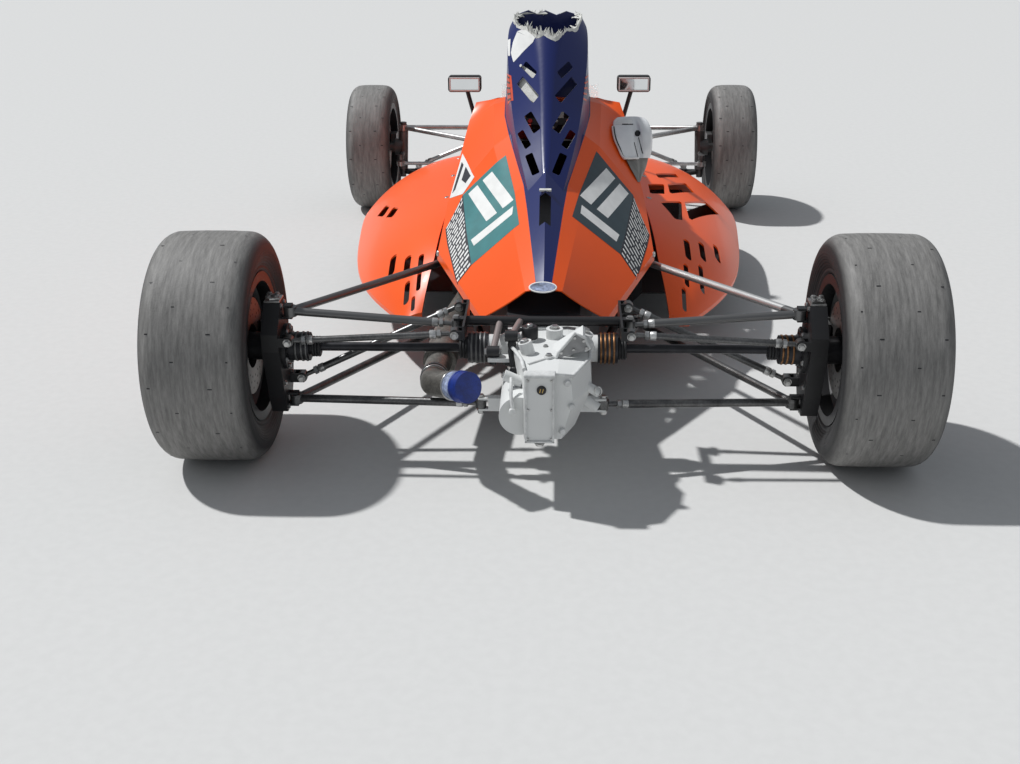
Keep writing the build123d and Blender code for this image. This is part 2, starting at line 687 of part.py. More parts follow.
with BuildPart() as nose_cone:
    ruled([(row.y, nose_section(row, 0)) for row in NOSE_ROWS])
    inner_rows = [NOSE_ROWS[0]._replace(y=NOSE_JOINT - 5), NOSE_ROWS[1],
                  NOSE_ROWS[2]._replace(y=fore(NOSE_AHEAD_OF_AXLE) - 2 * PANEL)]
    ruled([(row.y, nose_section(row, PANEL)) for row in inner_rows], mode=Mode.SUBTRACT)
save(nose_cone.part, "nose_cone")

# Side pods: a domed shell out to a low rim, over a pan that curves in to the floor
Pod = namedtuple("Pod", "y inner_x inner_z outer_x")


def beside_tub(y):
    return tub_half_width(y) + SEAT_GAP


POD_RIM_Z = 180
POD_LIP = 12
POD_ROWS = [
    Pod(aft(470), 345, 205, 400),
    Pod(aft(620), 320, 322, 482),
    Pod(TUB_REAR, beside_tub(TUB_REAR), 392, 596),
    Pod(aft(1250), beside_tub(aft(1250)), 402, 638),
    Pod(COCKPIT_WIDE_END, beside_tub(COCKPIT_WIDE_END), 400, 665),
    Pod(aft(1850), beside_tub(aft(1850)), 330, 610),
    Pod(POD_FRONT, beside_tub(POD_FRONT), 215, 460),
]


POD_OVERLAP = 15


def pod_section(row, side, wall):
    """Dome of a pod at one station, carried on into the tub's room: arched top and a lip at the rim."""
    inner = row.inner_x - POD_OVERLAP
    foot = inner - (POD_OVERLAP if wall else POD_OVERLAP / 2)
    outer = row.outer_x - wall
    top = row.inner_z - wall
    base = POD_RIM_Z - POD_LIP - (wall and 20)
    rim = POD_RIM_Z
    middle = (inner + 0.62 * (outer - inner), rim - wall / 2 + 0.62 * (top - rim))
    with BuildSketch(across(row.y)) as section:
        with BuildLine():
            Polyline((side * outer, rim), (side * outer, base), (side * foot, base), (side * foot, top),
                     (side * inner, top))
            ThreePointArc((side * inner, top), (side * middle[0], middle[1]), (side * outer, rim))
        make_face()
    return section.sketch


# Slots along the tail of each pod, and windows in its top by their corners, as (distance from the middle, station)
TailSlot = namedtuple("TailSlot", "x station length width")
TAIL_SLOTS = {
    "right": [
        TailSlot(414, 735, 104, 18), TailSlot(464, 790, 98, 18), TailSlot(518, 871, 91, 18),
        TailSlot(402, 613, 80, 14), TailSlot(450, 654, 96, 14), TailSlot(390, 528, 66, 12),
    ],
    "left": [
        TailSlot(453, 699, 86, 20), TailSlot(402, 641, 80, 20), TailSlot(360, 623, 63, 16),
        TailSlot(394, 545, 66, 16), TailSlot(360, 557, 56, 13), TailSlot(372, 500, 38, 11),
    ],
}
WINDOWS = {
    "right": [
        [(362, 1372), (440, 1484), (448, 1446), (368, 1322)],
        [(326, 1209), (383, 1265), (375, 1142), (326, 1094)],
        [(396, 1284), (467, 1410), (492, 1346), (395, 1167)],
        [(352, 1030), (430, 1135), (415, 930), (390, 905)],
        [(441, 1146), (528, 1324), (576, 1318), (441, 962)],
    ],
    "left": [
        [(580, 1300), (546, 1206), (530, 1275), (552, 1340)],
        [(530, 1160), (501, 1096), (486, 1160), (512, 1226)],
    ],
}
WINDOW_CORNER = 5
CUT_LOW_Z = POD_RIM_Z + 8


def make_pod(side, word):
    """Domed shell of a pod with its slots and windows."""
    with BuildPart() as pod:
        loft([pod_section(row, side, 0) for row in POD_ROWS])
        inner_rows = [POD_ROWS[0]._replace(y=POD_ROWS[0].y + PANEL)] + POD_ROWS[1:-1]
        inner_rows.append(POD_ROWS[-1]._replace(y=POD_ROWS[-1].y - PANEL))
        loft([pod_section(row, side, PANEL) for row in inner_rows], mode=Mode.SUBTRACT)
        with BuildSketch(Plane.XY.offset(CUT_LOW_Z)) as slots:
            for slot in TAIL_SLOTS[word]:
                with Locations((side * slot.x, aft(slot.station))):
                    SlotOverall(slot.length, slot.width, rotation=90)
        extrude(slots.sketch, amount=300, mode=Mode.SUBTRACT)
        tail, front = POD_ROWS[0], POD_ROWS[-1]
        room = [(0, tail.y - 50), (tail.inner_x, tail.y - 50)] + [(row.inner_x, row.y) for row in POD_ROWS]
        room += [(front.inner_x, front.y + 50), (0, front.y + 50)]
        middle = polygon_at(Plane.XY.offset(TUB_BOTTOM_Z), [(side * x, y) for x, y in room])
        extrude(middle, amount=600, mode=Mode.SUBTRACT)
        for corners in WINDOWS[word]:
            with BuildSketch(Plane.XY.offset(CUT_LOW_Z)) as window:
                with BuildLine():
                    FilletPolyline(*[(side * x, aft(station)) for x, station in corners], close=True,
                                   radius=WINDOW_CORNER)
                make_face()
            extrude(window.sketch, amount=300, mode=Mode.SUBTRACT)
    return pod.part


for side, word in SIDES:
    save(make_pod(side, word), f"side_pod_{word}")

# Pans under the pods, from the tub's chine out and up to the pods' rims
PAN_INNER_Z = 108


def pan_section(row, side):
    outer = row.outer_x - PANEL
    rim = POD_RIM_Z - POD_LIP - SEAT_GAP
    inner = row.inner_x
    knee = inner + 0.5 * (outer - inner)
    points = [(inner, PAN_INNER_Z), (knee, PAN_INNER_Z), (outer, rim)]
    under = [(x, z - PANEL) for x, z in reversed(points)]
    return polygon_at(across(row.y), [(side * x, z) for x, z in points + under])


with BuildPart() as under_pans:
    for side, word in SIDES:
        loft([pan_section(row, side) for row in POD_ROWS[2:-1]], ruled=True)
save(under_pans.part, "under_pans")

# Radiator core in the right pod, standing on its pan
RADIATOR_Y = aft(1500)
RADIATOR_SIZE = (150, 42, 190)
with BuildPart() as radiator:
    foot = (beside_tub(RADIATOR_Y) + 16, RADIATOR_Y - RADIATOR_SIZE[1] / 2, PAN_INNER_Z + SEAT_GAP)
    block(foot, tuple(low + size for low, size in zip(foot, RADIATOR_SIZE)))
save(radiator.part, "radiator")

# Engine, gearbox and the frame round them
with BuildPart() as engine_block:
    block((-ENGINE_HALF_WIDTH, ENGINE_REAR, ENGINE_BOTTOM_Z), (ENGINE_HALF_WIDTH, TUB_REAR - SEAT_GAP, ENGINE_TOP_Z))
save(engine_block.part, "engine_block")

GEARBOX_REAR = aft(-TAIL_BEHIND_AXLE)
SHAFT_Z = REAR_AXLE.tyre_od / 2
BEAM_RADIUS = 12
BEAM_Z = 340
BEAM_Y = aft(24)
RAIL_REAR = aft(330)
RAIL_START_X = 256
RAIL_END_X = 160
RAILS = ((REAR_UPPER_FRONT_PICKUP, 322), (REAR_LOWER_FRONT_PICKUP, 150))
# Two stays on the left, from the gearbox up to the beam
STAYS = (((-116, aft(-96), 306), (-104, BEAM_Y, BEAM_Z)), ((-72, aft(-104), 348), (-54, BEAM_Y, BEAM_Z + 2)))
STAY_RADIUS = 8
STAY_FOOT_RADIUS = 12
FLANGE_RADIUS_INNER = 33
# Gearbox: sections from the tail to the engine, as (x, z) clockwise from the top left; its right side is the fuller
CASE_SECTIONS = [
    (GEARBOX_REAR + 14, [(-38, 322), (36, 326), (66, 318), (70, 262), (46, 170), (-38, 168)]),
    (aft(-205), [(-44, 322), (40, 330), (108, 330), (114, 262), (76, 168), (-44, 166)]),
    (aft(-70), [(-80, 318), (60, 328), (112, 322), (116, 262), (80, 166), (-66, 166)]),
    (aft(150), [(-92, 315), (60, 318), (92, 315), (112, 262), (66, 162), (-66, 162)]),
]
BELL_SECTIONS = [
    (aft(150), [(92, 315), (112, 270), (100, 175), (60, 160)]),
    (ENGINE_REAR - SEAT_GAP, [(100, 400), (150, 330), (150, 170), (90, 100)]),
]
TAIL_PLATE = ((-36, GEARBOX_REAR, 165), (30, GEARBOX_REAR + 16, 330))
LOBE_CENTRE = (-50, 212)
LOBE_RADIUS = 46
LOBE_REAR = aft(-258)
# Bosses and covers that stand on the case: centre, axis, radius, length
Boss = namedtuple("Boss", "centre axis radius length")
CASE_BOSSES = [
    Boss((-34, aft(-150), 330), (-0.3, 0, 1), 16, 44),
    Boss((-30, aft(-60), 326), UP, 18, 40),
    Boss((28, aft(-50), 330), UP, 20, 36),
    Boss((92, aft(-60), 326), (0.4, 0, 1), 22, 40),
    Boss((104, aft(-190), 222), (1, -0.2, -0.6), 12, 60),
    Boss((-66, aft(-190), 276), (-0.9, 0, 0.4), 13, 44),
]
# Slanted cover on the right of the case, rising outwards
LID_CENTRE = (62, aft(-150), 344)
LID_SIZE = (86, 74, 9)
LID_TILT = -38
LID_SLOPE = 14
with BuildPart() as gearbox_case:
    ruled([(y, both_halves(half)) for y, half in BELL_SECTIONS])
    ruled(CASE_SECTIONS)
    block(*TAIL_PLATE)
    rod((LOBE_CENTRE[0], LOBE_REAR, LOBE_CENTRE[1]), (LOBE_CENTRE[0], aft(-90), LOBE_CENTRE[1]), LOBE_RADIUS)
    for boss in CASE_BOSSES:
        drum(boss.centre, boss.axis, boss.radius, boss.length)
    with Locations(Location(LID_CENTRE, (LID_SLOPE, LID_TILT, 0))):
        Box(*LID_SIZE)
    rod((-GEARBOX_FLANGE_X, REAR_Y, SHAFT_Z), (GEARBOX_FLANGE_X, REAR_Y, SHAFT_Z), FLANGE_RADIUS_INNER)
    for side, word in SIDES:
        eye = beside(side, REAR_LOWER_REAR_PICKUP, REAR_Y)
        ears(eye, 60, PICKUP_WIDTH, side)
        for pickup, end_z in RAILS:
            near, far = sorted((side * 80, side * (RAIL_END_X + BEAM_RADIUS)))
            block((near, RAIL_REAR - 32, end_z - 15), (far, RAIL_REAR - 2.5, end_z + 15))
    block((-26, BEAM_Y - 14, 300), (26, BEAM_Y + 14, BEAM_Z - BEAM_RADIUS - SEAT_GAP))
    low_foot = STAYS[0][0]
    block((low_foot[0] - 12, low_foot[1] - 14, low_foot[2] - 22),
          (-56, low_foot[1] + 14, low_foot[2] - STAY_FOOT_RADIUS - SEAT_GAP))
save(gearbox_case.part, "gearbox_case")

# Frame: a beam over the gearbox with an end plate for the links, and two rails a side to the tub
END_PLATE_X = 184
END_PLATE = 5
with BuildPart() as rear_frame:
    rod((-END_PLATE_X, BEAM_Y, BEAM_Z), (END_PLATE_X, BEAM_Y, BEAM_Z), BEAM_RADIUS)
    for side, word in SIDES:
        near, far = sorted((side * END_PLATE_X, side * (END_PLATE_X + END_PLATE)))
        block((near, aft(-80), BEAM_Z - 14), (far, aft(118), BEAM_Z + 22))
        ears(beside(side, REAR_UPPER_REAR_PICKUP, REAR_Y), END_PLATE_X + 4, PICKUP_WIDTH, side)
        ears(beside(side, REAR_TOE_PICKUP, REAR_Y), END_PLATE_X + 4, PICKUP_WIDTH, side, ALONG)
        ears(beside(side, REAR_PUSH_TOP, REAR_Y), END_PLATE_X + 4, PICKUP_WIDTH, side, ALONG)
        for pickup, end_z in RAILS:
            eye = beside(side, pickup, REAR_Y)
            share = (eye[1] - RAIL_REAR) / (TUB_REAR + 20 - RAIL_REAR)
            start = (side * RAIL_START_X, TUB_REAR + 20, end_z + (eye[2] - end_z) / share)
            rod(start, (side * RAIL_END_X, RAIL_REAR, end_z), BEAM_RADIUS)
            ears(eye, RAIL_END_X + share * (RAIL_START_X - RAIL_END_X), PICKUP_WIDTH, side)
    split(bisect_by=Plane.XZ.offset(-(TUB_REAR - SEAT_GAP)), keep=Keep.TOP)
    for foot, top in STAYS:
        rod(foot, top, STAY_RADIUS)
        drum(foot, (1, 0, 0), STAY_FOOT_RADIUS, 24)
save(rear_frame.part, "rear_frame")

# Exhaust on the left, from the engine back under the half shaft to a capped end
EXHAUST_RADIUS = 32
EXHAUST_PATH = [(-ENGINE_HALF_WIDTH + 30, aft(680), 254), (-208, aft(570), 240), (-244, aft(400), 218),
                (-264, aft(0), 208), (-256, aft(-118), 234), (-168, aft(-226), 268)]
SILENCER_RADIUS = 42
with BuildPart() as exhaust_pipe:
    with BuildLine() as route:
        FilletPolyline(*EXHAUST_PATH, radius=46)
    start = Plane(origin=route.line @ 0, z_dir=route.line % 0)
    with BuildSketch(start) as bore:
        Circle(EXHAUST_RADIUS)
    sweep(bore.sketch, path=route.line)
    front, rear = Vector(*EXHAUST_PATH[2]), Vector(*EXHAUST_PATH[3])
    rod(tuple(front + (rear - front) * 0.2), tuple(front + (rear - front) * 0.8), SILENCER_RADIUS)
    split(bisect_by=Plane.YZ.offset(-ENGINE_HALF_WIDTH - SEAT_GAP), keep=Keep.BOTTOM)
save(exhaust_pipe.part, "exhaust_pipe")

CAP_WALL = 4
CAP_DEPTH = 26
with BuildPart() as exhaust_cap:
    pipe_end = Vector(*EXHAUST_PATH[-1])
    outwards = (pipe_end - Vector(*EXHAUST_PATH[-2])).normalized()
    rod(tuple(pipe_end - outwards * CAP_DEPTH), tuple(pipe_end + outwards * (CAP_WALL + SEAT_GAP)),
        EXHAUST_RADIUS + SEAT_GAP + CAP_WALL)
    rod(tuple(pipe_end - outwards * 2 * CAP_DEPTH), tuple(pipe_end + outwards * SEAT_GAP),
        EXHAUST_RADIUS + SEAT_GAP, mode=Mode.SUBTRACT)
save(exhaust_cap.part, "exhaust_cap")

# Cockpit
WHEEL_CENTRE = (0, aft(1690), 505)
COLUMN_END = (0, aft(2140), 372)
STEERING_RIM_RADIUS = 135
GRIP_RADIUS = 13
COLUMN_RADIUS = 9
SPOKE_WIDTH = 24
SPOKE_THICKNESS = 6
WHEEL_HUB_RADIUS = 32
WHEEL_HUB_HALF = 8
column_axis = (Vector(*COLUMN_END) - Vector(*WHEEL_CENTRE)).normalized()
wheel_face = Plane(origin=WHEEL_CENTRE, x_dir=(1, 0, 0), z_dir=column_axis)
with BuildPart() as steering_wheel:
    with BuildSketch(wheel_face) as hub:
        Circle(WHEEL_HUB_RADIUS)
    extrude(hub.sketch, amount=WHEEL_HUB_HALF, both=True)
    with BuildSketch(wheel_face) as spokes:
        Rectangle(2 * STEERING_RIM_RADIUS, SPOKE_WIDTH)
        with Locations((0, STEERING_RIM_RADIUS / 2)):
            Rectangle(SPOKE_WIDTH, STEERING_RIM_RADIUS)
    extrude(spokes.sketch, amount=SPOKE_THICKNESS / 2, both=True)
    rim_start = Vector(*WHEEL_CENTRE) + Vector(STEERING_RIM_RADIUS, 0, 0)
    with BuildSketch(Plane(origin=rim_start, x_dir=(1, 0, 0), z_dir=wheel_face.y_dir)) as grip:
        Circle(GRIP_RADIUS)
    revolve(grip.sketch, axis=Axis(WHEEL_CENTRE, column_axis))
save(steering_wheel.part, "steering_wheel")
with BuildPart() as steering_column:
    start = Vector(*WHEEL_CENTRE) + column_axis * (WHEEL_HUB_HALF + SEAT_GAP)
    rod(tuple(start), COLUMN_END, COLUMN_RADIUS)
save(steering_column.part, "steering_column")

DASH_Y = aft(1880)
DASH_THICKNESS = 8
DASH_FOOT_Z = 420
with BuildPart() as dash_panel:
    dash_rows = []
    for y in (DASH_Y - DASH_THICKNESS, DASH_Y):
        row = Surround(y, *[between(SURROUND_ROWS, y, column) for column in range(1, 5)])
        dash_rows.append((y, surround_section(row, PANEL + SEAT_GAP)))
    ruled(dash_rows)
    split(bisect_by=Plane.XY.offset(DASH_FOOT_Z), keep=Keep.TOP)
    rod(WHEEL_CENTRE, COLUMN_END, COLUMN_RADIUS + RUNNING_GAP, mode=Mode.SUBTRACT)
save(dash_panel.part, "dash_panel")

SEAT_HALF_WIDTH = 200
SEAT_SHELL = 8
with BuildPart() as seat:
    shape = [(aft(1085), 560), (aft(1300), TUB_BOTTOM_Z + TUB_WALL + SEAT_GAP),
             (aft(1640), TUB_BOTTOM_Z + TUB_WALL + SEAT_GAP), (aft(1640), 190), (aft(1380), 190), (aft(1180), 560)]
    with BuildSketch(Plane.YZ) as profile:
        with BuildLine():
            Polyline(*shape, close=True)
        make_face()
    extrude(profile.sketch, amount=SEAT_HALF_WIDTH, both=True)
    hollow = [(aft(1085) + 12, 600), (aft(1300) + 8, TUB_BOTTOM_Z + TUB_WALL + 12),
              (aft(1680), TUB_BOTTOM_Z + TUB_WALL + 12), (aft(1680), 600)]
    with BuildSketch(Plane.YZ) as room:
        with BuildLine():
            Polyline(*hollow, close=True)
        make_face()
    extrude(room.sketch, amount=SEAT_HALF_WIDTH - SEAT_SHELL, both=True, mode=Mode.SUBTRACT)
save(seat.part, "seat")

HOOP_RADIUS = 19
HOOP_Y = aft(1042)
with BuildPart() as roll_hoop:
    with BuildLine() as bend:
        FilletPolyline((-150, HOOP_Y, TUB_BOTTOM_Z), (-118, HOOP_Y, 640), (-80, HOOP_Y, 880),
                       (80, HOOP_Y, 880), (118, HOOP_Y, 640), (150, HOOP_Y, TUB_BOTTOM_Z),
                       radius=70)
    with BuildSketch(Plane(origin=bend.line @ 0, z_dir=bend.line % 0)) as tube:
        Circle(HOOP_RADIUS)
    sweep(tube.sketch, path=bend.line)
    split(bisect_by=Plane.XY.offset(TUB_BOTTOM_Z + TUB_WALL + SEAT_GAP), keep=Keep.TOP)
save(roll_hoop.part, "roll_hoop")

with BuildPart() as headrest:
    block((-95, HOOP_Y + HOOP_RADIUS + SEAT_GAP, 680), (95, HOOP_Y + HOOP_RADIUS + 40, 810))
    fillet(headrest.edges().filter_by(Axis.Y), 20)
save(headrest.part, "headrest")

SCREEN_CENTRE = aft(1760)
SCREEN_RADIUS = 178
with BuildPart() as windscreen:
    with BuildSketch(Plane.XY.offset(480)) as band:
        with Locations((0, SCREEN_CENTRE)):
            Circle(SCREEN_RADIUS)
            Circle(SCREEN_RADIUS - PANEL, mode=Mode.SUBTRACT)
        with Locations((0, SCREEN_CENTRE - 120)):
            Rectangle(400, 300, mode=Mode.SUBTRACT)
    extrude(amount=150)
    add(surround_body.part.moved(Location((0, 0, SEAT_GAP))), mode=Mode.SUBTRACT)
    raked = Plane(origin=(0, SCREEN_CENTRE, 632), x_dir=(1, 0, 0), z_dir=(0, 0.25, 0.97))
    split(bisect_by=raked, keep=Keep.BOTTOM)
save(windscreen.part, "windscreen")

MIRROR_Y = aft(1400)
MIRROR_X = 280
MIRROR_Z = 686
MIRROR_SIZE = (110, 32, 52)
MIRROR_STALK_RADIUS = 7
with BuildPart() as mirrors:
    for side, word in SIDES:
        rod((side * 226, MIRROR_Y, 490), (side * (MIRROR_X - 4), MIRROR_Y, MIRROR_Z - 10), MIRROR_STALK_RADIUS)
        with Locations((side * MIRROR_X, MIRROR_Y, MIRROR_Z)):
            Box(*MIRROR_SIZE)
    add(surround_body.part.moved(Location((0, 0, SEAT_GAP))), mode=Mode.SUBTRACT)
    fillet([edge for edge in mirrors.edges().filter_by(Axis.Y) if edge.center().Z > MIRROR_Z - 30], 10)
save(mirrors.part, "mirrors")

with BuildPart() as intake_scoop:
    scoop_body(0)
    block((-ENGINE_HALF_WIDTH, aft(700), ENGINE_BOTTOM_Z), (ENGINE_HALF_WIDTH, TUB_REAR, ENGINE_TOP_Z + SEAT_GAP),
          mode=Mode.SUBTRACT)
save(intake_scoop.part, "intake_scoop")


# Front suspension and steering

def kingpin(side, z):
    """Point on the steering axis at a height."""
    top, bottom = KINGPIN_TOP, KINGPIN_BOTTOM
    share = (z - bottom[2]) / (top[2] - bottom[2])
    return (side * (bottom[0] + share * (top[0] - bottom[0])), FRONT_Y, z)


def kingpin_axis(side):
    return (Vector(*kingpin(side, KINGPIN_TOP[2])) - Vector(*kingpin(side, KINGPIN_BOTTOM[2]))).normalized()


for name, ball, z in (("front_upper_wishbones", KINGPIN_TOP, FRONT_UPPER_PICKUP_Z),
                      ("front_lower_wishbones", KINGPIN_BOTTOM, FRONT_LOWER_PICKUP_Z)):
    with BuildPart() as pair:
        for side, word in SIDES:
            outer = beside(side, ball, FRONT_Y)
            for step in (-1, 1):
                link(outer, beside(side, front_eye(side, step, z), FRONT_Y))
            if name == "front_lower_wishbones":
                ball_seat = beside(side, (FRONT_PUSH_BALL_X, 0, ball[2]), FRONT_Y)
                rod(outer, ball_seat, LINK_RADIUS)
                drum(ball_seat, UP, PICKUP_RADIUS + 4, 2 * BALL_SEAT_HALF)
            drum(outer, kingpin_axis(side), EYE_RADIUS, EYE_WIDTH)
            drum(outer, kingpin_axis(side), KINGPIN_RADIUS + RUNNING_GAP, 3 * EYE_WIDTH, mode=Mode.SUBTRACT)
    save(pair.part, name)

FRONT_PUSH_BALL = (FRONT_PUSH_BALL_X, 0, KINGPIN_BOTTOM[2] + BALL_SEAT_HALF + PICKUP_RADIUS + SEAT_GAP)
front_pushrods = make_links(FRONT_PUSH_BALL, FRONT_PUSH_TOP, FRONT_Y, PUSHROD_RADIUS)
save(front_pushrods.part, "front_pushrods")

HUB_BOSS_LENGTH = 34
HUB_BOSS_RADIUS = 34
hub_boss_x = abs(kingpin(RIGHT, FRONT_AXLE.tyre_od / 2)[0]) + HUB_BOSS_LENGTH


def make_knuckle(side):
    """Front upright on its kingpin, with the stub axle and the steering arm behind it."""
    axle = FRONT_AXLE
    z = axle.tyre_od / 2
    axis = kingpin_axis(side)
    top = Vector(*kingpin(side, KINGPIN_TOP[2]))
    bottom = Vector(*kingpin(side, KINGPIN_BOTTOM[2]))
    face = EYE_WIDTH / 2 + RUNNING_GAP
    with BuildPart() as knuckle:
        rod(tuple(bottom + axis * face), tuple(top - axis * face), UPRIGHT_POST_RADIUS)
        rod(tuple(bottom - axis * (face + 10)), tuple(top + axis * (face + 10)), KINGPIN_RADIUS)
        rod(tuple(bottom - axis * (face + 10)), tuple(bottom - axis * face), 13)
        rod(tuple(top + axis * face), tuple(top + axis * (face + 10)), 13)
        stub_start = kingpin(side, z)
        hub_face = axle.track / 2 + axle.face_out - 26 - 2 * SEAT_GAP
        rod(stub_start, (side * hub_face, axle.y, z), STUB_AXLE_RADIUS)
        rod(stub_start, (side * hub_boss_x, axle.y, z), HUB_BOSS_RADIUS)
        near, far = sorted((side * (hub_boss_x - 14), side * hub_boss_x))
        block((near, axle.y, z - 14), (far, axle.y + 98, z + 14))
        arm_root = kingpin(side, RACK_Z + ARM_RISE)
        arm_end = (arm_root[0], fore(-STEERING_ARM_LENGTH), RACK_Z + ARM_RISE)
        rod(arm_root, arm_end, 9)
        drum(arm_end, UP, 13, 22)
        rod(arm_end, (arm_end[0], arm_end[1], RACK_Z - ROD_END_WIDTH / 2 - 3), ROD_END_PIN)
    return knuckle.part


for side, word in SIDES:
    save(make_knuckle(side), f"knuckle_{word}")
    caliper = make_caliper(FRONT_AXLE, side, FRONT_DISC_OUT, 1, hub_boss_x + SEAT_GAP)
    save(caliper, f"front_caliper_{word}")

with BuildPart() as steering_rack:
    pin_x = kingpin(RIGHT, RACK_Z + ARM_RISE)[0]
    rod((-pin_x, rack_y, RACK_Z), (pin_x, rack_y, RACK_Z), TRACK_ROD_RADIUS)
    rod((-260, rack_y, RACK_Z), (260, rack_y, RACK_Z), RACK_RADIUS)
    for side, word in SIDES:
        drum((side * pin_x, rack_y, RACK_Z), UP, ROD_END_RADIUS, ROD_END_WIDTH)
        drum((side * pin_x, rack_y, RACK_Z), UP, ROD_END_BORE, 2 * ROD_END_WIDTH, mode=Mode.SUBTRACT)
save(steering_rack.part, "steering_rack")
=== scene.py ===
import math
import random
from collections import namedtuple
from itertools import product
import bmesh
import bpy
from mathutils import Euler, Matrix, Vector
from mathutils.bvhtree import BVHTree


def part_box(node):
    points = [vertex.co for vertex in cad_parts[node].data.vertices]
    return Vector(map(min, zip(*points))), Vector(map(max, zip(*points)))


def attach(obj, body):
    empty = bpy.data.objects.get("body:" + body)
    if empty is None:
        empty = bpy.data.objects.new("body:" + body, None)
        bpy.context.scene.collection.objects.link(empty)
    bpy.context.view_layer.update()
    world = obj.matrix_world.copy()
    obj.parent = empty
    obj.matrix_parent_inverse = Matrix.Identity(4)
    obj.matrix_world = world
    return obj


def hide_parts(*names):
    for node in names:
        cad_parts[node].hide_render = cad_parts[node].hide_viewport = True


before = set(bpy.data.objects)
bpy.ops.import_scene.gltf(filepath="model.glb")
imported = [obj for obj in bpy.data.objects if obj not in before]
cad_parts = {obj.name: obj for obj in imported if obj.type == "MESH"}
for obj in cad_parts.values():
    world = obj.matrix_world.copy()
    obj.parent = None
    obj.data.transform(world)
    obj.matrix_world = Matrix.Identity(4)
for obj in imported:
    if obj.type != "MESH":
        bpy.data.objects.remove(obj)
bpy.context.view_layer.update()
random.seed(7)

# Layout, read from the frame. Sizes are in millimetres unless a line says metres
MM = 0.001
SIDES = ((1, "right"), (-1, "left"))
RIGHT, AHEAD, UP = Vector((1, 0, 0)), Vector((0, 1, 0)), Vector((0, 0, 1))


def middle_of(node):
    """Centre of a CAD node's box and half its size, in metres."""
    low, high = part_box(node)
    return (low + high) / 2, (high - low) / 2


REAR_HUB = middle_of("tyre_rear_right")[0]


def at(x, station, z, side=1):
    """Point in the scene: millimetres out from the middle, ahead of the rear axle, and above the ground."""
    return Vector((x * side * MM, REAR_HUB.y + station * MM, z * MM))


def mm(x, y, z):
    """Offset in the scene, from millimetres."""
    return Vector((x, y, z)) * MM


def link(name, data):
    """New object in the scene."""
    obj = bpy.data.objects.new(name, data)
    bpy.context.scene.collection.objects.link(obj)
    return obj


# Camera, fitted to the four tyres in the photograph
CAMERA_PLACE = at(35, -2870, 1372)
CAMERA_YAW = math.radians(2.3)
CAMERA_PITCH = math.radians(22.38)
CAMERA_ROLL = math.radians(-0.39)
FOCAL_PIXELS = 1266.96
PHOTO_WIDTH = 1020
SENSOR_WIDTH = 36


def make_camera():
    data = bpy.data.cameras.new("camera")
    data.sensor_width = SENSOR_WIDTH
    data.lens = FOCAL_PIXELS / PHOTO_WIDTH * SENSOR_WIDTH
    data.clip_end = 100
    camera = link("camera", data)
    turn = Matrix.Rotation(CAMERA_YAW, 4, "Z") @ Matrix.Rotation(math.pi / 2 - CAMERA_PITCH, 4, "X")
    camera.matrix_world = Matrix.Translation(CAMERA_PLACE) @ turn @ Matrix.Rotation(CAMERA_ROLL, 4, "Z")
    bpy.context.scene.camera = camera


# Lights: a key from high on the left, as the sun stands in the photograph, and a pale surround, over a floor
# whose half span is in metres
KEY_DIRECTION = Vector((-0.522, 0.199, 0.829))
KEY_STRENGTH = 3.3
KEY_ANGLE = math.radians(2)
FILL_COLOUR = (0.80, 0.85, 0.92)
FILL_STRENGTH = 0.36
FLOOR_COLOUR = (0.62, 0.62, 0.61)
FLOOR_SPAN = 30


def make_lights():
    sun = bpy.data.lights.new("key", "SUN")
    sun.energy = KEY_STRENGTH
    sun.angle = KEY_ANGLE
    link("key", sun).rotation_euler = KEY_DIRECTION.to_track_quat("Z", "Y").to_euler()
    world = bpy.data.worlds.new("surround")
    world.use_nodes = True
    background = world.node_tree.nodes["Background"]
    background.inputs["Color"].default_value = (*FILL_COLOUR, 1)
    background.inputs["Strength"].default_value = FILL_STRENGTH
    bpy.context.scene.world = world
    bpy.context.scene.view_settings.view_transform = "Standard"


def make_floor():
    mesh = bpy.data.meshes.new("floor")
    corners = [(x * FLOOR_SPAN, y * FLOOR_SPAN, 0) for x, y in ((-1, -1), (1, -1), (1, 1), (-1, 1))]
    mesh.from_pydata(corners, [], [(0, 1, 2, 3)])
    mesh.materials.append(Look("floor_pale", FLOOR_COLOUR, 0.9, spot=(0.97, 40), bump=(0.02, 300)).material)
    link("floor", mesh)


# Looks
SOCKETS = {"coat": "Coat Weight", "transmission": "Transmission Weight", "alpha": "Alpha",
           "sheen": "Sheen Weight", "shine": "Specular IOR Level"}


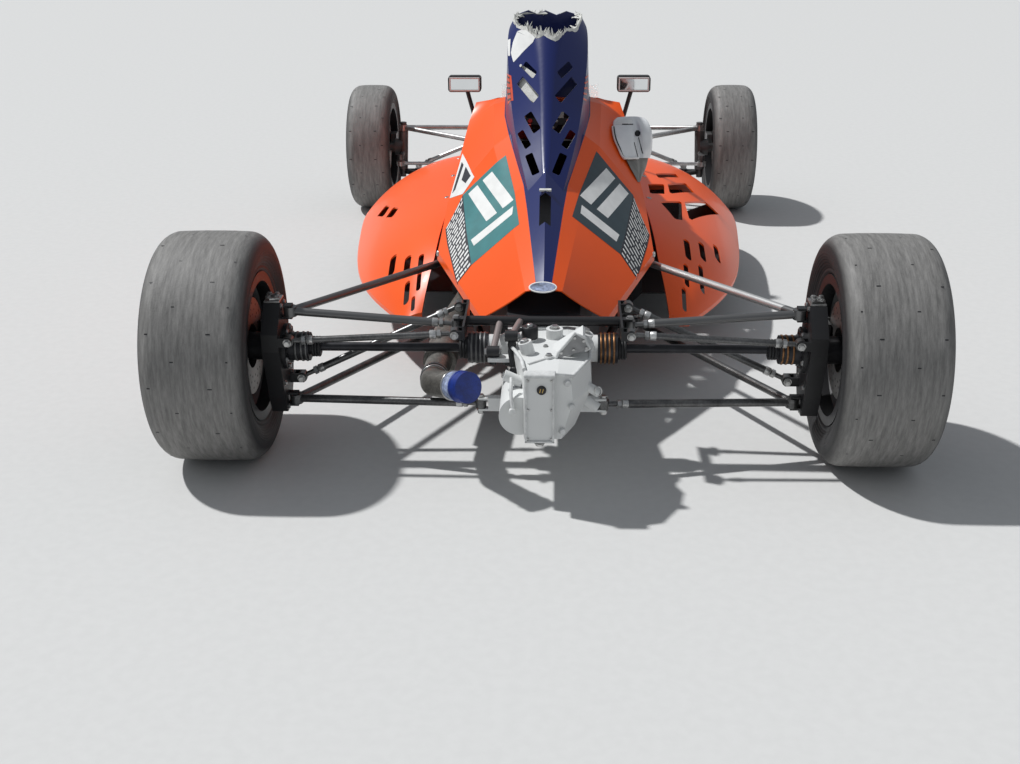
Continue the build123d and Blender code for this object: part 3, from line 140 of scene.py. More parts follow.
class Look:
    """A material. Its methods add nodes and return their outputs, and take plain values or other outputs."""

    def __init__(self, name, colour, rough=0.5, metal=0.0, spot=None, grain=None, bump=None, **more):
        """spot is (darkest share, scale) of broad colour change, grain is (share, scale) of fine change, bump
        is (depth, scale), and more sets the shader's own sockets."""
        self.material = bpy.data.materials.new(name)
        self.material.use_nodes = True
        self.tree = self.material.node_tree
        self.shader = self.tree.nodes["Principled BSDF"].inputs
        self.shader["Roughness"].default_value = rough
        self.shader["Metallic"].default_value = metal
        self.shader["Coat Roughness"].default_value = 0.06
        for key, value in more.items():
            self.shader[SOCKETS[key]].default_value = value
        self.place = self.add("TexCoord").outputs["Object"]
        tint = colour
        if spot:
            tint = self.ramp(self.noise(spot[1]), 0.35, 0.65, [c * spot[0] for c in colour], colour)
        if grain:
            flecks = self.ramp(self.noise(grain[1], 2), 0.4, 0.6, [1 - grain[0]] * 3, [1, 1, 1])
            tint = self.mix(1.0, tint, flecks, "MULTIPLY")
        self.feed(self.shader["Base Color"], tint)
        if bump:
            depth, height = bump[0] * MM, self.noise(bump[1])
            uneven = self.add("Bump", {"Strength": 1.0, "Distance": depth, "Height": height})
            self.feed(self.shader["Normal"], uneven.outputs["Normal"])

    def feed(self, socket, source):
        if hasattr(source, "is_output"):
            self.tree.links.new(source, socket)
        elif isinstance(source, (int, float)):
            socket.default_value = source
        else:
            socket.default_value = (*source, 1)[:len(socket.default_value)]

    def add(self, kind, sources=None, **settings):
        node = self.tree.nodes.new("ShaderNode" + kind)
        for key, value in settings.items():
            setattr(node, key, value)
        for socket, source in (sources or {}).items():
            self.feed(node.inputs[socket], source)
        return node

    def noise(self, scale, detail=4):
        return self.add("TexNoise", {"Vector": self.place, "Scale": scale, "Detail": detail}).outputs["Fac"]

    def ramp(self, source, low, high, dark, light):
        node = self.add("ValToRGB", {"Fac": source})
        for element, position, colour in zip(node.color_ramp.elements, (low, high), (dark, light)):
            element.position = position
            element.color = (*colour, 1)
        return node.outputs["Color"]

    def mix(self, factor, first, second, kind="MIX"):
        sources = {0: factor, 6: first, 7: second}
        return self.add("Mix", sources, data_type="RGBA", blend_type=kind).outputs[2]

    def math(self, kind, first, second=0.0):
        return self.add("Math", {0: first, 1: second}, operation=kind).outputs[0]

    def parts(self, source):
        """X, Y and Z of a vector."""
        return self.add("SeparateXYZ", {0: source}).outputs


# Mesh building
def turns(count, phase=0.0):
    """Cosine and sine of equal steps round a circle; phase is a share of one step."""
    return [(math.cos(t), math.sin(t)) for t in (2 * math.pi * (k + phase) / count for k in range(count))]


def circle(centre, u, v, radius, count, phase=0.0):
    """Points round a circle, from u towards v."""
    return [centre + (u * c + v * s) * radius * MM for c, s in turns(count, phase)]


def axes_across(axis):
    """Two unit vectors square to an axis."""
    axis = Vector(axis).normalized()
    side = axis.cross(UP)
    if side.length < 0.1:
        side = axis.cross(AHEAD)
    side.normalize()
    return side, axis.cross(side)


def run_along(path, i):
    """Direction of a path at one of its points."""
    return (path[min(i + 1, len(path) - 1)] - path[max(i - 1, 0)]).normalized()


class Batch:
    """Many small solids of one look that become one piece. Every batch left open is closed at the end."""
    left_open = []

    def __init__(self, name, look, body="chassis", origin=(0, 0, 0)):
        self.name, self.look, self.body, self.origin = name, look, body, Vector(origin)
        self.points, self.faces, self.smooth = [], [], []
        Batch.left_open.append(self)

    def put(self, points, faces, smooth=False):
        start = len(self.points)
        self.points += [tuple(p) for p in points]
        self.faces += [tuple(start + i for i in face) for face in faces]
        self.smooth += [smooth] * len(faces)

    def rings(self, rings, closed=False, smooth=True):
        """Skin between rings with the same count of points, with flat ends unless it closes on itself."""
        count = len(rings[0])
        faces = []
        for i in range(len(rings) if closed else len(rings) - 1):
            low, high = i * count, (i + 1) % len(rings) * count
            for j in range(count):
                k = (j + 1) % count
                faces.append((low + j, low + k, high + k, high + j))
        self.put([p for ring in rings for p in ring], faces, smooth)
        if not closed:
            self.put(rings[0], [tuple(reversed(range(count)))])
            self.put(rings[-1], [tuple(range(count))])

    def turned(self, place, axis, profile, sides=24, smooth=True):
        """Solid of revolution: profile is a list of (distance along the axis, radius)."""
        axis = Vector(axis).normalized()
        u, v = axes_across(axis)
        rings = [circle(Vector(place) + axis * along * MM, u, v, radius, sides) for along, radius in profile]
        self.rings(rings, smooth=smooth)

    def peg(self, place, axis, radius, reach, tip, sides=24):
        """Round peg that reaches from low to high along the axis, and on to a tip (distance, radius)."""
        self.turned(place, axis, [(reach[0], radius), (reach[1], radius), tip], sides)

    def band(self, centre, axis, radius, width, rise):
        """Ring round a rod, standing out from its skin by rise."""
        half, edge = width / 2, radius + rise * 0.6
        self.turned(centre, axis, [(-half, radius * 0.9), (-half, edge), (-half * 0.7, radius + rise),
                                   (half * 0.7, radius + rise), (half, edge), (half, radius * 0.9)], 32)

    def tube(self, path, radius, sides=12):
        """Round tube along a path of points."""
        rings = []
        u = axes_across(path[1] - path[0])[0]
        for i, point in enumerate(path):
            run = run_along(path, i)
            u = (u - run * u.dot(run)).normalized()
            rings.append(circle(point, u, run.cross(u), radius, sides))
        self.rings(rings)

    def bolt(self, place, axis, size, height=None, washer=True):
        """Hexagon head on its washer; size is the distance across corners."""
        height = height or size * 0.35
        if washer:
            self.turned(place, axis, [(0, size * 0.62), (size * 0.08, size * 0.62)], 20)
        head = [(0, size / 2), (height, size / 2), (height * 1.12, size * 0.4)]
        self.turned(place, axis, head, 6, smooth=False)

    def block(self, centre, size, turn=(0, 0, 0), chamfer=1.0):
        """Box of a size about a centre, turned by angles in degrees, with its edges cut back by chamfer."""
        half = [s / 2 for s in size]
        cut = min(chamfer, *[h * 0.9 for h in half])
        mesh = bmesh.new()
        for axis, *signs in product(range(3), (-1, 1), (-1, 1), (-1, 1)):
            reach = [h if k == axis else h - cut for k, h in enumerate(half)]
            mesh.verts.new([sign * r * MM for sign, r in zip(signs, reach)])
        bmesh.ops.convex_hull(mesh, input=mesh.verts)
        mesh.verts.index_update()
        spin = Euler([math.radians(angle) for angle in turn]).to_matrix()
        faces = [[v.index for v in face.verts] for face in mesh.faces]
        self.put([Vector(centre) + spin @ v.co for v in mesh.verts], faces)
        mesh.free()

    def patch(self, centre, u, v, half_u, half_v):
        """Flat rectangular mark."""
        a, b = u * half_u * MM, v * half_v * MM
        self.put([centre - a - b, centre + a - b, centre + a + b, centre - a + b], [(0, 1, 2, 3)])

    def close(self):
        """Make the piece, which rides on its body."""
        mesh = bpy.data.meshes.new(self.name)
        mesh.from_pydata([Vector(p) - self.origin for p in self.points], [], self.faces)
        mesh.materials.append(self.look.material)
        mesh.polygons.foreach_set("use_smooth", self.smooth)
        facing = bmesh.new()
        facing.from_mesh(mesh)
        bmesh.ops.recalc_face_normals(facing, faces=facing.faces)
        facing.to_mesh(mesh)
        facing.free()
        obj = link(self.name, mesh)
        obj.location = self.origin
        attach(obj, self.body)
        Batch.left_open.remove(self)
        return obj


trees = {}


def tree_of(node):
    if node not in trees:
        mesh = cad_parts[node].data
        mesh.calc_loop_triangles()
        trees[node] = BVHTree.FromPolygons([tuple(v.co) for v in mesh.vertices],
                                           [tuple(t.vertices) for t in mesh.loop_triangles])
    return trees[node]


RAY_REACH = 160


def drop_on(node, place, away, stand):
    """Point of a node's skin met on the way in through a place, and the skin's normal on the outer side."""
    hit, normal = tree_of(node).ray_cast(place + away * stand * MM, -away, RAY_REACH * MM)[:2]
    return hit, (normal if hit is None or normal.dot(away) > 0 else -normal)


def grid(rows, columns):
    """Faces between rows of points, with one point more than columns in each."""
    wide = columns + 1
    corners = [j * wide + i for j, i in product(range(rows), range(columns))]
    return [(k, k + 1, k + wide + 1, k + wide) for k in corners]


def spread(a, b, c, d, u, v):
    """Point inside four corners, by shares along and up."""
    return a.lerp(b, u).lerp(d.lerp(c, u), v)


# One mark that fills a quad, and the height from which quads face up or down
WHOLE = (((0, 0), (1, 0), (1, 1), (0, 1)),)
BODY_MIDDLE = 450


def sticker(name, quad, look, marks=WHOLE, lift=0.5, step=12, outwards=None, node="engine_cover"):
    """Thin patches on a node. quad is four corners for at(); each mark is four corners in the quad's own 0 to
    1 square. Every point is dropped onto the node from outside, and stands off by lift."""
    corners = [at(*corner) for corner in quad]
    out = Vector(outwards or (corners[1] - corners[0]).cross(corners[3] - corners[0]))
    middle = sum(corners, Vector()) / 4
    if not outwards and out.dot(Vector((middle.x, 0, middle.z - BODY_MIDDLE * MM))) < 0:
        out = -out
    out.normalize()
    batch = Batch(name, look)
    for mark in marks:
        uv = [Vector((*corner, 0)) for corner in mark]
        edge = [spread(*corners, p.x, p.y) for p in uv]
        sizes = ((edge[a] - edge[b]).length / (step * MM) for a, b in ((1, 0), (2, 3), (3, 0), (2, 1)))
        low, high, left, right = sizes
        columns, rows = max(1, round(max(low, high))), max(1, round(max(left, right)))
        points = []
        for j, i in product(range(rows + 1), range(columns + 1)):
            p = spread(*uv, i / columns, j / rows)
            place = spread(*corners, p.x, p.y)
            hit, normal = drop_on(node, place, out, 80)
            points.append(hit + normal * lift * MM if hit else place)
        batch.put(points, grid(rows, columns), smooth=True)


ORANGE = (1.0, 0.115, 0.009)
NAVY = (0.010, 0.020, 0.125)
CAST = (0.72, 0.73, 0.72)
paint_orange = Look("paint_orange", ORANGE, 0.36, coat=0.12, shine=0.35, spot=(0.94, 3), bump=(0.05, 60))
black_paint = Look("black_paint", (0.015, 0.015, 0.017), 0.45, spot=(0.7, 8), bump=(0.05, 90))
rod_grey = Look("rod_grey", (0.17, 0.17, 0.17), 0.34, 0.8, spot=(0.6, 20), grain=(0.25, 200))
rod_bright = Look("rod_bright", (0.66, 0.66, 0.65), 0.35, 0.7, spot=(0.75, 22), grain=(0.2, 200))
cast_white = Look("cast_white", CAST, 0.5, spot=(0.82, 26), grain=(0.12, 120), bump=(0.3, 160))
# Dark grey for the gearbox cover's rear wall: painted shade.
cast_painted_shade = Look("cast_painted_shade", (0.30, 0.30, 0.30), 0.6, spot=(0.8, 40), bump=(0.4, 400))
cast_metal = Look("cast_metal", (0.20, 0.20, 0.20), 0.48, 0.7, spot=(0.6, 18), bump=(0.3, 160))
disc_metal = Look("disc_metal", (0.30, 0.29, 0.28), 0.38, 0.9, spot=(0.7, 12))
bolt_metal = Look("bolt_metal", (0.55, 0.55, 0.54), 0.3, 0.9, spot=(0.6, 60))
dark_steel = Look("dark_steel", (0.04, 0.04, 0.045), 0.4, 0.6, spot=(0.6, 30))
copper = Look("copper_band", (0.40, 0.20, 0.09), 0.42, 0.85, spot=(0.45, 90))
boot_rubber = Look("boot_rubber", (0.02, 0.02, 0.022), 0.6, spot=(0.7, 40))
silver_skin = Look("silver_skin", (0.90, 0.91, 0.92), 0.24, 0.15, spot=(0.86, 12), bump=(0.5, 55))
# Darker copy of the scoop's silver for its lower skirt: painted shade.
silver_painted_shade = Look("silver_painted_shade", (0.27, 0.26, 0.24), 0.45, 0.3, spot=(0.7, 30), bump=(0.5, 90))
glass = Look("screen_clear", (0.75, 0.8, 0.82), 0.06, transmission=0.9, alpha=0.13)
mirror_skin = Look("mirror_skin", (0.82, 0.84, 0.85), 0.05, 1.0, spot=(0.97, 20))
liner_white = Look("liner_white", (0.80, 0.80, 0.76), 0.7, spot=(0.85, 60), grain=(0.15, 300))
gold = Look("gold_screw", (0.60, 0.42, 0.16), 0.35, 0.9, spot=(0.7, 90))
white_print = Look("white_print", (0.86, 0.86, 0.84), 0.4, coat=0.3, spot=(0.9, 30))
teal_print = Look("teal_print", (0.038, 0.21, 0.22), 0.4, coat=0.3, spot=(0.85, 30))
slate_print = Look("slate_print", (0.028, 0.052, 0.065), 0.4, coat=0.3, spot=(0.85, 30))
black_print = Look("black_print", (0.02, 0.022, 0.03), 0.42, coat=0.2, spot=(0.8, 30))
red_print = Look("red_print", (0.72, 0.085, 0.03), 0.42, coat=0.2, spot=(0.8, 30))
fibre_edge = Look("fibre_edge", (0.74, 0.74, 0.70), 0.85, spot=(0.75, 90), bump=(0.8, 500))
cap_blue = Look("cap_blue", (0.008, 0.035, 0.27), 0.45, spot=(0.6, 40), grain=(0.2, 300))
tape_worn = Look("tape_worn", (0.42, 0.50, 0.72), 0.6, spot=(0.35, 45), grain=(0.4, 140))
pipe_grey = Look("pipe_grey", (0.22, 0.21, 0.19), 0.48, 0.55, spot=(0.6, 20), grain=(0.3, 180))
seat_cloth = Look("seat_cloth", (0.03, 0.03, 0.033), 0.85, sheen=0.3, bump=(0.4, 800))
belt_red = Look("belt_red", (0.45, 0.02, 0.015), 0.7, bump=(0.2, 900))
gauge_face = Look("gauge_face", (0.80, 0.80, 0.76), 0.4)
core_fins = Look("core_fins", (0.10, 0.10, 0.105), 0.5, 0.5, bump=(0.8, 420))


# Masks for zones of paint, in metres, from the sockets of a point's place and of the way its face looks
# Half width of the cover's dark spine by station in millimetres, with the ends of both scales
SPINE_HALF = ((100, 17), (400, 48), (500, 60), (550, 72), (700, 107), (850, 125), (1000, 128))
SPINE_REACH = 1100
SPINE_TOP = 0.2


def spine_mask(look, place, facing):
    """The cover's dark spine."""
    share = look.math("DIVIDE", look.math("SUBTRACT", place["Y"], REAR_HUB.y), SPINE_REACH * MM)
    node = look.add("ValToRGB", {"Fac": share})
    elements = node.color_ramp.elements
    while len(elements) < len(SPINE_HALF):
        elements.new(0.5)
    for element, (station, half) in zip(elements, SPINE_HALF):
        element.position = station / SPINE_REACH
        element.color = (*[half * MM / SPINE_TOP] * 3, 1)
    limit = look.math("MULTIPLY", node.outputs["Color"], SPINE_TOP)
    return look.math("LESS_THAN", look.math("ABSOLUTE", place["X"]), limit)


def inside_mask(look, place, facing):
    """Faces of the cowl that look in at its middle."""
    inwards = look.math("LESS_THAN", look.math("MULTIPLY", place["X"], facing["X"]), -0.012)
    return look.math("MULTIPLY", inwards, look.math("GREATER_THAN", place["Z"], 0.64))


def ahead_mask(look, place, facing):
    """The gearbox's dark bell housing."""
    return look.math("GREATER_THAN", place["Y"], REAR_HUB.y + 40 * MM)


def stay_mask(look, place, facing):
    """The two stays: behind the beam and inside its end plates."""
    behind = look.math("LESS_THAN", place["Y"], REAR_HUB.y + 10 * MM)
    return look.math("MULTIPLY", behind, look.math("LESS_THAN", look.math("ABSOLUTE", place["X"]), 0.16))


def painted_highlight_leg_mask(look, place, facing):
    """The right upper link's front leg, painted lighter than the rest as a painted highlight."""
    right = look.math("GREATER_THAN", place["X"], 0)
    return look.math("MULTIPLY", right, look.math("GREATER_THAN", place["Y"], REAR_HUB.y + 45 * MM))


def by_place(name, base, zones, rough=0.34, coat=0.12, bump=(0.05, 60), **more):
    """Paint of a base colour with zones over it, each a mask and a colour, and faint clouds over all."""
    look = Look(name, base, rough, coat=coat, bump=bump, **more)
    place, facing = look.parts(look.place), look.parts(look.add("NewGeometry").outputs["Normal"])
    tint = base
    for mask_of, colour in zones:
        tint = look.mix(mask_of(look, place, facing), tint, colour)
    cloud = look.add("TexNoise", {"Scale": 4, "Detail": 6}).outputs["Fac"]
    look.feed(look.shader["Base Color"], look.mix(0.12, tint, cloud, "MULTIPLY"))
    return look


# The right upper link's front leg is painted light grey: a painted highlight.
link_paint_with_painted_highlight = by_place("link_paint_with_painted_highlight", (0.17, 0.17, 0.17), [(painted_highlight_leg_mask, (0.62, 0.62, 0.61))], coat=0.0,
                      metal=0.75)
cover_paint = by_place("cover_paint", ORANGE, [(spine_mask, NAVY), (inside_mask, (0.42, 0.42, 0.40))],
                       shine=0.35)
gearbox_paint = by_place("gearbox_paint", CAST, [(ahead_mask, (0.025, 0.025, 0.028))], 0.5, 0.0, (0.3, 160))
frame_paint = by_place("frame_paint", (0.02, 0.02, 0.022), [(stay_mask, (0.30, 0.25, 0.24))], 0.4, 0.0,
                       metal=0.3)

NODE_LOOKS = (
    (black_paint, "rim_ rear_upright steering_wheel under_pans chassis_tub dash seat roll_hoop mirrors"),
    (rod_grey, "rear_lower rear_toe rear_push front_lower steering_column"),
    (rod_bright, "front_upper front_push steering_rack"), (link_paint_with_painted_highlight, "rear_upper_wish"),
    (cast_metal, "rear_calipers front_caliper knuckle"), (dark_steel, "half_shaft_ engine_block"),
    (disc_metal, "brake_disc_"), (frame_paint, "rear_frame"), (gearbox_paint, "gearbox"),
    (pipe_grey, "exhaust_pipe"), (cap_blue, "exhaust_cap"), (cover_paint, "engine_cover"),
    (paint_orange, "side_pod cockpit_surround nose_cone"), (silver_skin, "intake_scoop"),
    (seat_cloth, "headrest"), (glass, "windscreen"), (core_fins, "radiator"),
)
for look, starts in NODE_LOOKS:
    for node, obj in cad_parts.items():
        if node.startswith(tuple(starts.split())):
            obj.data.materials.clear()
            obj.data.materials.append(look.material)


# Tyres: the same casing as the CAD's, with crowned tread, round shoulders and ribbed walls, in metres. The
# ribbed wall runs from a foot above the bead's radius to a top below the tread's
TYRE_WALL = 0.011
TYRE_STEPS = 128
WALL_FOOT, WALL_TOP, WALL_START = 0.031, 0.044, 0.0065
WALL_RIBS, RIB_HEIGHT = 6, 0.0007
TREAD_ROUND, CROWN_DROP = 0.042, 0.0015
BEAD ={"rear": (0.1017, 0.1653), "front": (0.0737, 0.1653)}
BEAD_FOOT = ((0, 0), (0, 0.010), (0.003, 0.018), (0.0075, 0.023), (0.0085, 0.028))
# Wear slots across the tread, drawn as black patches of painted shade: share of the half width, and phase
# round the tyre
WEAR_SLOT_ROWS = ((-0.72, 0.0), (0.05, 0.0), (0.27, 0.0), (0.74, 0.5), (-0.4, 0.5), (0.5, 0.5))
WEAR_SLOT_ROUNDS = 14


def tyre_profile(half, radius, bead_half, bead_radius):
    """Closed outline of a tyre's section, as (distance from the middle, radius), out and back inside."""
    side = [(bead_half + x, bead_radius + r) for x, r in BEAD_FOOT]
    low, high = bead_radius + WALL_FOOT, radius - WALL_TOP
    start = bead_half + WALL_START
    for k in range(WALL_RIBS * 4 + 1):
        share = k / (WALL_RIBS * 4)
        bulge = start + (half - start) * math.sin(share * math.pi / 2)
        side.append((bulge + (RIB_HEIGHT if k % 4 in (1, 2) else 0), low + share * (high - low)))
    for degrees in range(10, 91, 10):
        t = math.radians(degrees)
        side.append((half - TREAD_ROUND * (1 - math.cos(t)),
                     radius - CROWN_DROP - TREAD_ROUND * (1 - math.sin(t))))
    side += [(half * 0.42, radius - 0.0006), (half * 0.2, radius)]
    inside = [(bead_half - TYRE_WALL, bead_radius), (half - TYRE_WALL, high),
              (half - 0.05, radius - TYRE_WALL)]
    return side + [(-x, r) for x, r in side[::-1] + inside] + inside[::-1]


def rubber(name, radius):
    """Tyre rubber: scrubbed grey tread with streaks round it, dark sidewalls."""
    look = Look(name, (0.02, 0.02, 0.021), 0.62, bump=(0.5, 260))
    place = look.parts(look.place)
    section = look.add("CombineXYZ", {"Y": place["Y"], "Z": place["Z"]}).outputs[0]
    reach = look.add("VectorMath", {0: section}, operation="LENGTH").outputs["Value"]
    worn = look.add("MapRange", {"Value": reach, "From Min": radius - 0.030, "From Max": radius - 0.006})
    drawn = look.add("VectorMath", {0: look.place, 1: (70, 9, 9)}, operation="MULTIPLY").outputs[0]
    streak = look.add("TexNoise", {"Vector": drawn, "Scale": 1.6, "Detail": 8, "Roughness": 0.75})
    tread = look.ramp(streak.outputs["Fac"], 0.3, 0.72, (0.100, 0.098, 0.094), (0.28, 0.273, 0.262))
    look.feed(look.shader["Base Color"], look.mix(worn.outputs["Result"], (0.017, 0.017, 0.018), tread))
    return look


def make_tyres():
    for axle, (side, word) in product(BEAD, SIDES):
        name = f"{axle}_{word}"
        centre, size = middle_of("tyre_" + name)
        tyre = Batch("tyre_slick_" + name, rubber("rubber_" + name, size.z), "wheel_" + name, centre)
        outline = tyre_profile(size.x, size.z, *BEAD[axle])
        tyre.rings([[centre + Vector((x, r * s, r * c)) for x, r in outline] for c, s in turns(TYRE_STEPS)],
                   closed=True)
        obj = tyre.close()
        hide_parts("tyre_" + name)
        # Each wear slot is a black patch: painted shade in the recess.
        marks = Batch("wear_slot_shades_" + name, black_paint, "wheel_" + name)
        for share, phase in WEAR_SLOT_ROWS:
            crown = size.z - (0.0002 if abs(share) < 0.5 else 0.0024)
            for c, s in turns(WEAR_SLOT_ROUNDS, phase):
                middle = centre + Vector((share * size.x * side, crown * s, crown * c))
                marks.patch(middle, RIGHT, Vector((0, c, -s)), 5, 1.5)


# Stickers: bare coloured places and plain bars of the photograph's colours, with no words
Panel = namedtuple("Panel", "word look quad bars strip lines fill")
PANELS = (
    Panel("left", teal_print, ((-236, 649, 495), (-113, 640, 610), (-68, 370, 486), (-199, 366, 378)),
          (((0.12, 0.06), (0.34, 0.06), (0.62, 0.62), (0.40, 0.62)),
           ((0.46, 0.06), (0.68, 0.06), (0.96, 0.62), (0.74, 0.62)),
           ((0.06, 0.70), (0.94, 0.70), (0.90, 0.80), (0.10, 0.80))),
          ((-282, 570, 416), (-236, 649, 495), (-199, 366, 378), (-241, 345, 335)), 17, 0.5),
    Panel("right", slate_print, ((140, 676, 614), (245, 664, 493), (203, 407, 397), (71, 401, 499)),
          (((0.30, 0.06), (0.54, 0.06), (0.26, 0.66), (0.02, 0.66)),
           ((0.66, 0.06), (0.90, 0.06), (0.62, 0.66), (0.38, 0.66)),
           ((0.10, 0.76), (0.90, 0.76), (0.88, 0.88), (0.12, 0.88))),
          ((245, 664, 493), (289, 560, 405), (250, 373, 340), (203, 407, 397)), 15, 0.35),
)
SHOULDER = ((-250, 835, 573), (-204, 672, 541), (-237, 654, 496), (-278, 702, 471))
SHOULDER_BLOCKS = (((0.4, 0.12), (0.85, 0.12), (0.78, 0.5), (0.45, 0.5)),
                   ((0.1, 0.15), (0.25, 0.15), (0.25, 0.8), (0.1, 0.9)))
COWL_PATCHES = (
    ((-88, 871, 918), (-60, 842, 930), (-34, 799, 909), (-38, 796, 906)),
    ((-88, 869, 917), (-38, 796, 907), (-41, 794, 898), (-99, 861, 890)),
    ((-99, 861, 890), (-41, 794, 898), (-69, 804, 870), (-105, 842, 862)),
    ((-105, 842, 862), (-69, 804, 870), (-92, 811, 843), (-97, 812, 840)),
)
COWL_LABEL = ((-115, 891, 892), (-107, 880, 896), (-107, 838, 854), (-113, 846, 853))
COWL_FIELD = ((117, 860, 802), (103, 788, 806), (93, 728, 746), (112, 785, 724))


def fine_lines(count, fill):
    """Broken lines across a quad, each of a few dashes of uneven length."""
    marks = []
    for k in range(count):
        low, high = (k + 0.22) / count, (k + 0.22 + fill) / count
        start = 0.06
        while start < 0.9:
            end = min(start + random.uniform(0.12, 0.38), 0.95)
            marks.append(((start, low), (end, low), (end, high), (start, high)))
            start = end + 0.05
    return marks


def make_stickers():
    for panel in PANELS:
        sticker("panel_" + panel.word, panel.quad, panel.look)
        sticker("bars_" + panel.word, panel.quad, white_print, panel.bars, 0.8)
        sticker("strip_" + panel.word, panel.strip, black_print)
        sticker("lines_" + panel.word, panel.strip, white_print, fine_lines(panel.lines, panel.fill), 0.8)
    side_out, left_back = (-0.5, -0.8, 0.3), (-0.6, -0.7, 0.35)
    sticker("side_patch", SHOULDER, white_print, lift=0.6, outwards=side_out)
    sticker("side_blocks", SHOULDER, black_print, SHOULDER_BLOCKS, 0.9, outwards=side_out)
    for k, quad in enumerate(COWL_PATCHES):
        sticker(f"cowl_patch_{k}", quad, white_print, step=6, outwards=left_back)
    sticker("cowl_label", COWL_LABEL, white_print, step=6, outwards=left_back)
    bars = [((0.1, low + 0.04), (0.85, low + 0.09), (0.8, low + 0.16), (0.15, low + 0.11))
            for low in (0, 0.2, 0.4, 0.6, 0.8)]
    for (side, word), look in zip(SIDES, (red_print, black_print)):
        quad = [(side * x, station, z) for x, station, z in COWL_FIELD]
        away = (side * 0.6, -0.7, 0.35)
        if word == "left":
            sticker("cowl_field_left", quad, red_print, step=6, outwards=away)
        sticker(f"cowl_bars_{word}", quad, look, bars, 0.8, 6, away)


# Torn top of the cowl: its rim is looked for round a middle, over an arc in degrees, above a height
TORN_MIDDLE = at(0, 990, 0)
TORN_ARC = range(-160, 89, 4)
TORN_ABOVE = 860


def make_torn_edge():
    """Ragged pale fibre along the break, whose rim is found by rays dropped from the middle outwards."""
    tree = tree_of("engine_cover")
    rim = []
    for degrees in TORN_ARC:
        t = math.radians(degrees)
        out = Vector((math.sin(t), -math.cos(t) * 1.3, 0)).normalized()
        for k in range(20, 240, 2):
            hit = tree.ray_cast(TORN_MIDDLE + out * k * MM + UP * 1.2, -UP, 1.0)[0]
            if hit and hit.z > TORN_ABOVE * MM:
                rim.append((out, hit))
                break
    outer, crest, inner = [], [], []
    for k, (out, hit) in enumerate(rim):
        low = hit - UP * (5.5 + 2.5 * math.sin(k * 0.7) + random.uniform(-1, 2)) * MM
        side = tree.ray_cast(low + out * 0.1, -out, 0.2)[0]
        outer.append(side + out * 0.7 * MM if side else low + out * 6 * MM)
        crest.append(hit + (out * 4.5 + UP * (1 + random.uniform(0, 4))) * MM)
        inner.append(hit - (out * random.uniform(1, 12) + UP * random.uniform(0, 12)) * MM)
    count = len(rim)
    edge = Batch("torn_fibre", fibre_edge)
    edge.put(outer + crest + inner, grid(2, count - 1))
    for i in range(2, count - 2, 3):
        out, hit = rim[i]
        along = (rim[i + 1][1] - rim[i - 1][1]).normalized() * 8 * MM
        tip = hit - (out * random.uniform(10, 30) - UP * random.uniform(-12, 8)) * MM
        edge.put([hit - along, hit + along, tip, tip + along / 2], [(0, 1, 3, 2)])
    for out, hit in rim:
        clump = abs(hit.x + 10 * MM) < 45 * MM and hit.y < TORN_MIDDLE.y - 100 * MM
        for k in range(6 if clump else 2):
            reach = random.uniform(12, 30) if clump else random.uniform(6, 14)
            thick = random.uniform(1.2, 3.4) if clump else 1.2
            lean = (random.uniform(-0.6, 0.6), random.uniform(0.0, 0.9), 1)
            base = hit + mm(random.uniform(-6, 6), random.uniform(-2, 8), -3)
            edge.turned(base, lean, [(0, thick), (reach * 0.6, thick * 0.8), (reach, 0.3)], 6, smooth=False)


# Suspension: bolts through the eyes, and nuts where a link's tube ends and its shank begins
SHANK = 45
EAR_FACE = 16.3
# Each link: its outer end, the way its bolts point, and one inner end, or two for a wishbone's legs
LINKS = (
    ((610, 0, 370), UP, (255, 610, 322), (208, 0, 340)),
    ((610, 0, 142), UP, (262, 640, 120), (146, -100, 176)),
    ((606, -62, 316), AHEAD, (208, -62, 338)), ((600, 42, 184), AHEAD, (208, 100, 352)),
    ((620, 2450, 335), UP, (221.5, 2270, 300), (181, 2630, 300)),
    ((628, 2450, 150), UP, (221.5, 2270, 115), (181, 2630, 115)),
    ((560, 2450, 175.3), AHEAD, (199, 2450, 320)),
)


def make_link_fittings():
    sleeves = Batch("link_sleeves", rod_bright)
    bright = Batch("link_nuts", bolt_metal)
    for (side, word), (outer, bolt, *inner) in product(SIDES, LINKS):
        far, nears = at(*outer, side), [at(*place, side) for place in inner]
        ends = [(near, (near - far).normalized() * MM) for near in nears]
        if len(ends) == 1:
            ends.append((far, -ends[0][1]))
        for eye, towards in ends:
            shoulder = eye - towards * SHANK
            sleeves.peg(shoulder - towards * 14, towards, 10.8, (0, 13), (15, 8.5))
            bright.turned(shoulder + towards * 3, towards, [(0, 10.5), (9, 10.5), (10, 9.2)], 6, smooth=False)
            bright.bolt(eye + bolt * EAR_FACE * MM, bolt, 16)
            bright.bolt(eye - bolt * EAR_FACE * MM, -bolt, 16, height=9)


# Half shafts, as (distance from the middle, radius): joint bands, ribs of their boots, rings of screws
JOINT_BANDS = ((140, 37), (150, 37), (160, 37), (171, 37), (573, 35), (584, 35), (598, 35))
BOOT_RIBS = ((184, 23), (191, 23), (198, 23), (544, 21), (551, 21), (558, 21))
JOINT_SCREWS = ((174, 30, 1), (607, 28, -1))


def make_shaft_fittings():
    hub = at(0, 0, REAR_HUB.z / MM)
    for side, word in SIDES:
        body, across = f"wheel_rear_{word}", RIGHT * side
        bands = Batch(f"joint_bands_{word}", copper if word == "right" else cast_metal, body, hub)
        for x, radius in JOINT_BANDS:
            bands.band(hub + across * x * MM, across, radius, 4.5, 1.6)
        boots = Batch(f"joint_boots_{word}", boot_rubber, body, hub)
        for x, radius in BOOT_RIBS:
            boots.band(hub + across * x * MM, across, radius, 6, 4.2)
        clips = Batch(f"joint_clips_{word}", bolt_metal, body, hub)
        for x, radius, outwards in JOINT_SCREWS:
            for place in circle(hub + across * x * MM, UP, AHEAD, radius, 6):
                clips.bolt(place, across * outwards, 9)
